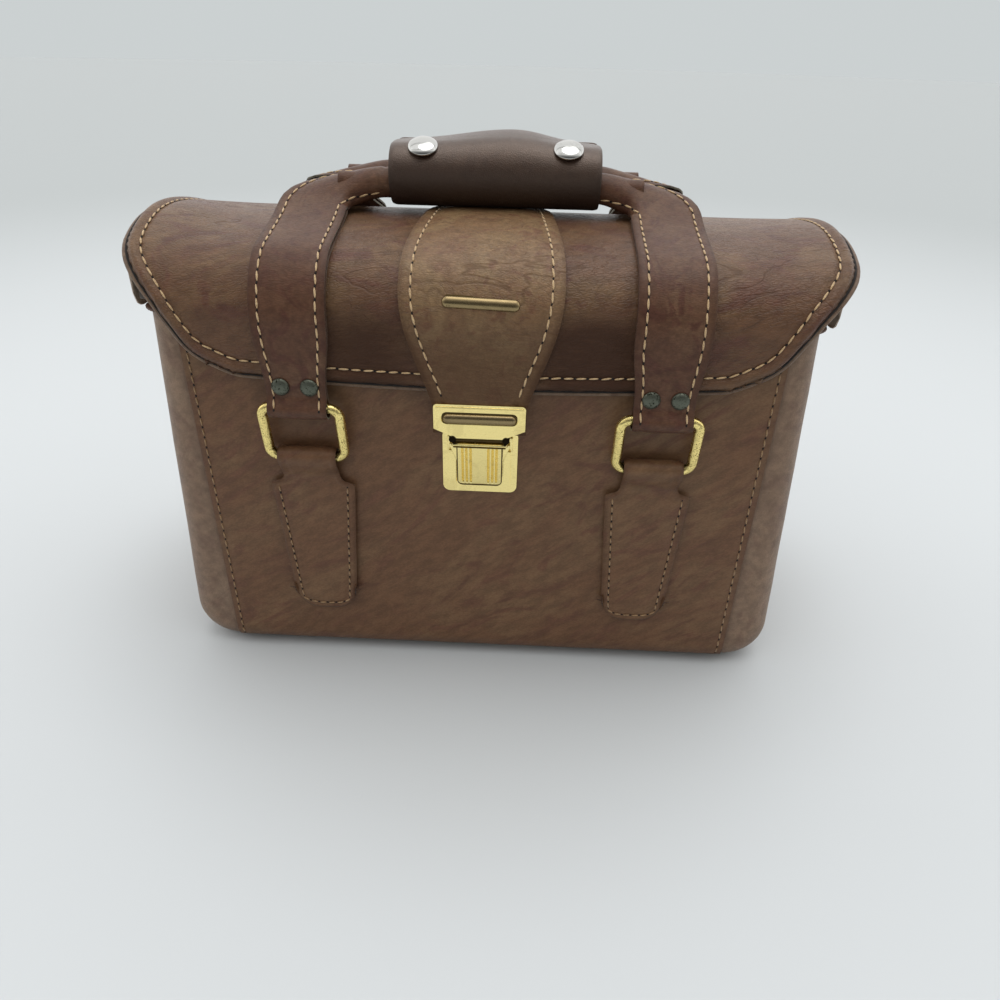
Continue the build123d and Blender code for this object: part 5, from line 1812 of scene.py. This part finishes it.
    def wings(self) -> Piece:
        """The two flat three-cornered flanges beside the thumb piece, and the plate's covers under them."""
        mesh = bmesh.new()
        top = self.top_z - self.wing_top_drop
        root = self.half_width - self.wing_root
        for side in Side:
            outline = [(root, top), (self.wing_half_width, top),
                       (self.wing_half_width - 0.3 * MM, top - 1.6 * MM),
                       (self.half_width, top - self.wing_length), (root, top - self.wing_length)]
            face_y = self.plate_y - self.wing_depth
            corners = [mesh.verts.new((side.value * x, face_y, z)) for x, z in outline]
            made = bmesh.ops.extrude_face_region(mesh, geom=[mesh.faces.new(corners)])
            for vertex in (item for item in made["geom"] if isinstance(item, bmesh.types.BMVert)):
                vertex.co.y = self.plate_y - 0.2 * MM
            cover = Matrix.Translation((side.value * self.cover_x, self.plate_y - 0.4 * MM, self.cover_z))
            bmesh.ops.create_cube(mesh, size=1.0, matrix=cover @ Matrix.Diagonal((*self.cover_size, 1.0)))
        soften(mesh, list(mesh.edges), 0.2 * MM)
        bmesh.ops.recalc_face_normals(mesh, faces=mesh.faces)
        return link(mesh, "lock_wings", (FINISH.brass,))

    def spring(self) -> None:
        """The return spring, which the thumb piece presses shorter on its way down; the coil is made at the
        imported spring's full length.
        """
        low, high = (Vector(corner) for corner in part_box("lock_spring"))
        middle = (low + high) / 2
        wire = self.spring_wire
        radius = (high.x - low.x) / 2 - wire
        steps = 24 * self.spring_turns
        line = []
        for step in range(steps + 1):
            angle = 2 * math.pi * self.spring_turns * step / steps
            z = mix(low.z + wire, high.z - wire, step / steps)
            line.append(Vector((middle.x + radius * math.cos(angle), middle.y + radius * math.sin(angle), z)))
        coil = tube("lock_spring_coil", line, lambda share: wire, 12, FINISH.steel)
        put(coil, "steel", "case_body", "lock_spring")
        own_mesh(coil)

    def mechanism(self) -> None:
        """The block behind the slot and the two pins at its ends, near black: painted shade in the slot and
        in the holes at its ends.
        """
        mesh = bmesh.new()
        middle = Vector((0, self.plate_y - self.block_off, self.top_z + self.block_rise))
        size = Matrix.Diagonal((*self.block_size, 1.0))
        bmesh.ops.create_cube(mesh, size=1.0, matrix=Matrix.Translation(middle) @ size)
        soften(mesh, list(mesh.edges), 0.4 * MM)
        pieces = [link(mesh, "lock_mechanism", (FINISH.painted_shade_metal,))]
        for side in Side:
            root = Vector((side.value * self.pin_x, self.plate_y, self.top_z + self.pin_rise))
            line = [root - Vector((0, stop, 0)) for stop in self.pin_stops]
            pin = tube(f"lock_pin_{side.word}", line, lambda share: self.pin_radius, 20, FINISH.painted_shade_metal)
            pieces.append(pin)
        for piece in pieces:
            put(piece, "antique_brass", "case_body")

    def bars(self) -> None:
        """The half-round bars in their recesses on hasp and tongue, the recesses dark with painted shade, and
        the hasp's top line.
        """
        hasp_y = HASP_LOW.y
        reach = self.bar_half_length
        run = LID.run_at_height(self.strap_bar_z)
        lean = max(run, 0.0) / LID.brow_radius
        on_hasp = Vector((0, hasp_y + 0.1 * MM, self.hasp_bar_z))
        on_strap = LID.profile(run, self.strap_bar_lift)
        places = (("hasp_bar", on_hasp, 2.6 * MM, 0.0, 0.0),
                  ("strap_bar", on_strap, 2.7 * MM, self.strap_bar_tilt, lean))
        for name, middle, radius, tilt, back in places:
            recess = capsule(name + "_recess", middle, reach, radius, self.recess_flat, FINISH.recess, tilt,
                             back)
            low = middle - Vector((0, 0, self.bar_drop))
            bar = capsule(name + "_rod", low, reach - self.bar_gap, radius - self.bar_gap, self.bar_flat,
                          FINISH.antique, tilt, back)
            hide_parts(name)
            for piece in (recess, bar):
                put(piece, "antique_brass", "lid")
        rim = capsule("hasp_top_line", Vector((0, hasp_y, HASP_HIGH.z - 1.2 * MM)), HASP_HIGH.x - 0.9 * MM,
                      0.38 * MM, 0.8, FINISH.brass)
        put(rim, "brass", "lid")

    def build(self) -> None:
        """Makes the whole lock."""
        self.thumb()
        self.spring()
        self.mechanism()
        self.bars()
        for name in ("hasp_plate", "lock_plate"):
            round_edges(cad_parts[name], 0.3 * MM, 40)
        log.info("lock done")


@dataclass
class Inside:
    """What shows with the lid up: linings, padded base and dividers, bound rim, and the hinge strip."""

    wall: float = 5.3 * MM
    low_half_width: float = 134.6 * MM
    rim_half_width: float = 124.7 * MM
    half_depth: float = 57.9 * MM
    rim_z: float = 166 * MM
    roll_radius: float = 2.3 * MM
    roll_run: float = 7 * MM
    corner: float = 7 * MM
    binding_inset: float = 3.55 * MM
    binding_corner: float = 9 * MM
    binding_radius: float = 3.5 * MM
    pad_edge: float = 0.28
    pad_dish: float = 0.05
    pad_dish_reach: float = 60 * MM
    lid_cloth_low_z: float = 173 * MM
    lid_cloth_rear_y: float = 56 * MM
    lid_cloth_depth: float = 5.2 * MM
    lid_cloth_half_width: float = 128.2 * MM
    strip_wall: float = 1.3 * MM
    strip_drop: float = 1.5 * MM
    strip_turn: float = math.radians(160)

    def tub(self) -> None:
        """The body's lining: a tapered tub with round corners, its visible faces turned inwards."""
        mesh = bmesh.new()
        bmesh.ops.create_cube(mesh, size=1.0)
        for vertex in mesh.verts:
            share = vertex.co.z + 0.5
            half = mix(self.low_half_width, self.rim_half_width, share)
            vertex.co = Vector((2 * half * vertex.co.x, 2 * self.half_depth * vertex.co.y,
                                mix(self.wall, self.rim_z, share)))
        top = [face for face in mesh.faces if face.calc_center_median().z > self.rim_z - MM]
        bmesh.ops.delete(mesh, geom=top, context="FACES_ONLY")
        soften(mesh, [edge for edge in mesh.edges if not edge.is_boundary], self.corner, 6)
        bmesh.ops.recalc_face_normals(mesh, faces=mesh.faces)
        bmesh.ops.reverse_faces(mesh, faces=mesh.faces)
        tub = link(mesh, "body_lining_cloth", (FINISH.lining,))
        put(tub, "lining", "case_body", "body_lining")
        thicken(tub, 1.3 * MM)

    def pad(self, node: str, trim: float) -> None:
        """A sewn pad in the space of its node: flat faces, crowned near its edges.

        Args:
            node: The node that it replaces.
            trim: How much narrower it is, so that it clears the lining's corners.
        """
        low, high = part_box(node)
        size, middle = high - low, (low + high) / 2
        thin = min(range(3), key=lambda axis: size[axis])
        mesh = bmesh.new()
        bmesh.ops.create_cube(mesh, size=1.0)
        bmesh.ops.subdivide_edges(mesh, edges=list(mesh.edges), cuts=23, use_grid_fill=True)
        for vertex in mesh.verts:
            place = Vector([0.5 * math.sin(math.pi * part) for part in vertex.co])
            edge = min((0.5 - abs(place[axis])) * size[axis] for axis in range(3) if axis != thin)
            near = min(edge / (size[thin] * 1.1), 1.0)
            crown = mix(self.pad_edge, 1.0, math.sqrt(1 - (1 - near) ** 2))
            place[thin] *= crown - self.pad_dish * (1 - ease(0.0, self.pad_dish_reach, edge))
            vertex.co = middle + Vector([place[axis] * (size[axis] - (0 if axis == thin else 2 * trim))
                                         for axis in range(3)])
        piece = link(mesh, node + "_cushion", (FINISH.cloth,))
        put(piece, "padding", "case_body", node)

    def rim(self) -> None:
        """The leather binding over the rim of the box, with its row of stitches."""
        low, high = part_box("rim_binding")
        half_x, half_y = high.x - self.binding_inset, high.y - self.binding_inset
        corners = [(half_x, half_y), (-half_x, half_y), (-half_x, -half_y), (half_x, -half_y)]
        line = []
        for index, corner in enumerate(corners):
            following, last = corners[(index + 1) % 4], corners[(index + 2) % 4]
            line += rounded_corner(corners[index - 1], corner, following, self.binding_corner, 8)
            after = rounded_corner(corner, following, last, self.binding_corner, 8)[0]
            line += [tuple(Vector(line[-1]).lerp(Vector(after), step / 24)) for step in range(1, 24)]
        path = [Vector((x, y, 0)) for x, y in line]
        binding = tube("rim_binding_leather", path, lambda share: self.binding_radius, 16, FINISH.strap,
                       closed=True)
        for vertex in binding.data.vertices:
            vertex.co.z = low.z + 0.35 * MM + vertex.co.z * 0.25
        put(binding, "strap_leather", "case_body", "rim_binding")
        rows = Stitching("rim_stitches", FINISH.ochre_thread, pitch=4.6 * MM, length=3.2 * MM, seed=29)
        top = low.z + 1.2 * MM
        rows.row([(Vector((point.x, point.y, top)), Vector((0, 0, 1))) for point in [*path, path[0]]])
        rows.finish("case_body")

    def lid_lie(self, across: float, along: float) -> Vector:
        """The visible face of the lid's lining."""
        run = mix(LID.run_at_height(self.lid_cloth_low_z), LID.run_at_depth(self.lid_cloth_rear_y), along)
        place = LID.profile(run, -self.lid_cloth_depth)
        place.x = -across * self.lid_cloth_half_width
        return place

    def hinge_lie(self, across: float, along: float) -> Vector:
        """The outer face of the hinge strip: up the back panel and over its roll."""
        low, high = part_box("hinge_strip")
        roll_z = high.z - self.roll_radius
        straight = roll_z - low.z - self.strip_drop
        run = along * (straight + self.roll_run)
        x = -across * high.x
        middle = high.y - self.roll_radius
        if run < straight:
            return Vector((x, middle + self.strip_wall, low.z + run))
        angle = min((run - straight) / self.roll_run, 1.0) * self.strip_turn
        reach = mix(self.strip_wall, self.roll_radius, ease(0.0, 0.5, angle))
        rise = self.roll_radius * math.sin(angle) - self.strip_drop * (1 - ease(0.0, 0.7, angle))
        return Vector((x, middle + reach * math.cos(angle), roll_z + rise))

    def build(self) -> None:
        """Makes everything inside, and the hinge strip."""
        self.tub()
        self.pad("base_pad", 2.5 * MM)
        for side in Side:
            self.pad(f"divider_{side.word}", 0.3 * MM)
        self.rim()
        cloth = Relief(inset=4 * MM, dip=0.3 * MM, round_over=0.2 * MM, wave=0.15 * MM)
        lining = Sheet("lid_lining_cloth", self.lid_lie, 60, 60, 1.1 * MM, cloth)
        lining = lining.build(FINISH.lining, FINISH.lining)
        put(lining, "lining", "lid", "lid_lining")
        relief = Relief(inset=3 * MM, dip=0.3 * MM, round_over=0.2 * MM, wave=0.08 * MM)
        strip = Sheet("hinge_strip_leather", self.hinge_lie, 90, 34, 1.1 * MM, relief, bevel=0.2 * MM)
        put(strip.build(FINISH.strap, FINISH.dark_edge), "strap_leather", "case_body", "hinge_strip")
        rows = Stitching("hinge_stitches", FINISH.ochre_thread, pitch=4.7 * MM, length=3.2 * MM, seed=31)
        rows.row([strip.on_face(mix(-0.975, 0.975, step / 120), 0.11) for step in range(121)])
        rows.finish("case_body")
        log.info("inside done")


def build_lid_ends() -> None:
    """The two stiff end panels of the lid, whose lower front corners show under the flap's ends."""
    low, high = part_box("lid_end_right")
    skin = 2.2 * MM
    corner = 6 * MM

    for side in Side:
        def lie(across: float, along: float) -> Vector:
            """The panel's outer face."""
            y = mix(low.y, high.y, across * side.value / 2 + 0.5)
            top = LID.dome_z + math.sqrt((LID.dome_radius - skin) ** 2 - (y - LID.crest_y) ** 2)
            if y < LID.brow_y:
                reach = LID.brow_radius - skin
                top = min(top, LID.brow_z + math.sqrt(max(reach**2 - (y - LID.brow_y) ** 2, 0.0)))
            over = max(low.y + corner - y, 0.0)
            bottom = low.z + 2 * MM + corner - math.sqrt(corner**2 - over**2)
            return Vector((side.value * high.x, y, mix(bottom, top, along)))

        relief = Relief(inset=3 * MM, dip=0.25 * MM, round_over=0.3 * MM, wave=0.1 * MM)
        # The end panels' leather is painted lighter than the lid's: painted light.
        panel = Sheet(f"lid_end_{side.word}_board", lie, 40, 20, high.x - low.x, relief, edge_share=0.4,
                      bevel=0.3 * MM).build(FINISH.lid_end, FINISH.lid_end)
        put(panel, "case_leather", "lid", f"lid_end_{side.word}")


def dress_nodes() -> None:
    """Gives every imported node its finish."""
    finishes = {
        "brass": ("lock_plate", "lock_slider", "hasp_plate", "hasp_backing", "lock_backing"),
        "antique": ("strap_bar", "hasp_bar"),
        "gold": ("front_ring_left", "front_ring_right", "back_ring_left", "back_ring_right"),
        "steel": ("lock_spring",),
        "nickel": ("snap_caps",),
        "rivet": ("front_strap_rivets", "back_strap_rivets"),
        "board": ("front_board", "back_board", "left_board", "right_board", "base_board", "lid_board"),
        "lining": ("body_lining", "lid_lining", "flap_lining"),
        "foam": ("front_padding", "back_padding"),
    }
    by_node = {node: name for name, nodes in finishes.items() for node in nodes}
    for name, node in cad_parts.items():
        material = getattr(FINISH, by_node.get(name, "strap"))
        node.data.materials.clear()
        node.data.materials.append(material)


@dataclass
class Studio:
    """Floor, light and the camera at the photograph's angle."""

    camera_place: Vector = Vector((15.71 * MM, -338.5 * MM, 257.8 * MM))
    pitch: float = math.radians(31.61)
    roll: float = math.radians(1.51)
    yaw: float = math.radians(-1.48)
    lens: float = 27.04
    painted_shadow_colour: Colour = (0.52, 0.54, 0.545)
    floor_colour: Colour = (0.58, 0.605, 0.615)
    far_colour: Colour = (0.425, 0.449, 0.450)
    wall_colour: Colour = (0.60, 0.635, 0.64)

    def camera(self) -> None:
        """The camera, looking down at the case from the front."""
        ahead = Vector((math.sin(self.yaw) * math.cos(self.pitch), math.cos(self.yaw) * math.cos(self.pitch),
                        -math.sin(self.pitch)))
        right = Vector((math.cos(self.yaw), -math.sin(self.yaw), 0))
        up = right.cross(ahead)
        across = right * math.cos(self.roll) + up * math.sin(self.roll)
        upward = -right * math.sin(self.roll) + up * math.cos(self.roll)
        data = bpy.data.cameras.new("camera")
        data.lens = self.lens
        data.sensor_width = 36.0
        data.clip_start = 0.01
        data.clip_end = 50
        camera = bpy.data.objects.new("camera", data)
        camera.matrix_world = Matrix((across, upward, -ahead)).transposed().to_4x4()
        camera.location = self.camera_place
        bpy.context.scene.collection.objects.link(camera)
        bpy.context.scene.camera = camera

    def floor(self) -> None:
        """A wide pale floor, darker close round the case with a painted shadow, whose far part has the tone
        of the wall.
        """
        mesh = bmesh.new()
        bmesh.ops.create_circle(mesh, cap_ends=True, segments=96, radius=9.0)
        material, draft, shader, place = new_material("studio_floor")
        distance = draft.add("VectorMath", operation="LENGTH")
        draft.join(place, distance.inputs[0])
        # Painted shadow: the floor is darker close round the case.
        close = draft.remap(distance.outputs["Value"], 0.12, 0.22)
        far = draft.remap(distance.outputs["Value"], 0.35, 1.4)
        tone = draft.blend(close, opaque(self.painted_shadow_colour), opaque(self.floor_colour))
        draft.join(draft.blend(far, tone, opaque(self.far_colour)), shader.inputs["Base Color"])
        shader.inputs["Roughness"].default_value = 0.8
        shader.inputs["Specular IOR Level"].default_value = 0.1
        floor = link(mesh, "studio_floor", (material,))

    def world(self) -> None:
        """Strips of light and shade across the sky; the camera sees the wall's plain tone."""
        world = bpy.data.worlds.new("studio")
        bpy.context.scene.world = world
        world.use_nodes = True
        draft = NodeDraft(world.node_tree)
        background = world.node_tree.nodes["Background"]
        view = draft.add("SeparateXYZ")
        draft.join(draft.add("NewGeometry").outputs["Incoming"], view.inputs[0])
        up = draft.math("MULTIPLY", view.outputs["Z"], -1.0)
        turn = draft.math("DIVIDE", draft.math("ARCTAN2", up, view.outputs["Y"]), math.pi)
        strips = draft.add("ValToRGB")
        draft.join(turn, strips.inputs[0])
        ramp = strips.color_ramp
        tones = ((0.0, 0.25), (0.2, 0.36), (0.31, 0.7), (0.37, 1.1), (0.42, 1.1), (0.435, 0.3), (0.455, 1.3),
                 (0.6, 1.3), (0.62, 0.4), (0.64, 1.2), (0.8, 1.25), (1.0, 1.05))
        while len(ramp.elements) < len(tones):
            ramp.elements.new(0.5)
        for element, (place, tone) in zip(ramp.elements, tones):
            element.position = place
            element.color = (tone, tone, tone, 1)
        front = draft.remap(view.outputs["Y"], 0.45, 0.95, 1.0, 0.45)
        side = draft.remap(draft.math("ABSOLUTE", view.outputs["X"]), 0.5, 0.95, 1.0, 1.2)
        lit = draft.blend(1.0, strips.outputs[0], draft.grey(draft.math("MULTIPLY", front, side)), "MULTIPLY")
        rays = draft.add("LightPath")
        draft.join(draft.blend(rays.outputs["Is Camera Ray"], lit, opaque(self.wall_colour)),
                   background.inputs["Color"])
        background.inputs["Strength"].default_value = 1.0

    def lights(self) -> None:
        """A large soft key from above and behind, and a front one that leaves no reflection."""
        for name, angle, energy, aim, seen in (("key", 45, 0.80, (0.12, 0.05, 1.0), True),
                                               ("fill", 60, 0.50, (-0.25, -0.8, 0.7), False)):
            data = bpy.data.lights.new(name, "SUN")
            data.angle = math.radians(angle)
            data.energy = energy
            light = bpy.data.objects.new(name, data)
            light.rotation_mode = "QUATERNION"
            light.rotation_quaternion = Vector(aim).to_track_quat("Z", "Y")
            light.visible_glossy = seen
            bpy.context.scene.collection.objects.link(light)

    def build(self) -> None:
        """Sets up the whole studio."""
        self.camera()
        self.floor()
        self.world()
        self.lights()
        bpy.context.scene.view_settings.view_transform = "Standard"


def main() -> None:
    """Builds every sub-assembly in order, and the studio round it."""
    logging.basicConfig(level=logging.INFO, format="%(name)s %(message)s")
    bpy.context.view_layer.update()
    Studio().build()
    dress_nodes()
    Body().build()
    for facing in Facing:
        for side in Side:
            Tab(facing, side).build()
    Lid().build()
    CentreStrap().build()
    for facing, turn in STRAP_TURNS.items():
        form = HandleForm(facing, turn)
        for side in Side:
            for outer in (False, True):
                HandleStrap(form, side, outer).build()
        build_rivets(form)
    Grip().build()
    Lock().build()
    build_lid_ends()
    Inside().build()


if __name__ == "__main__":
    main()
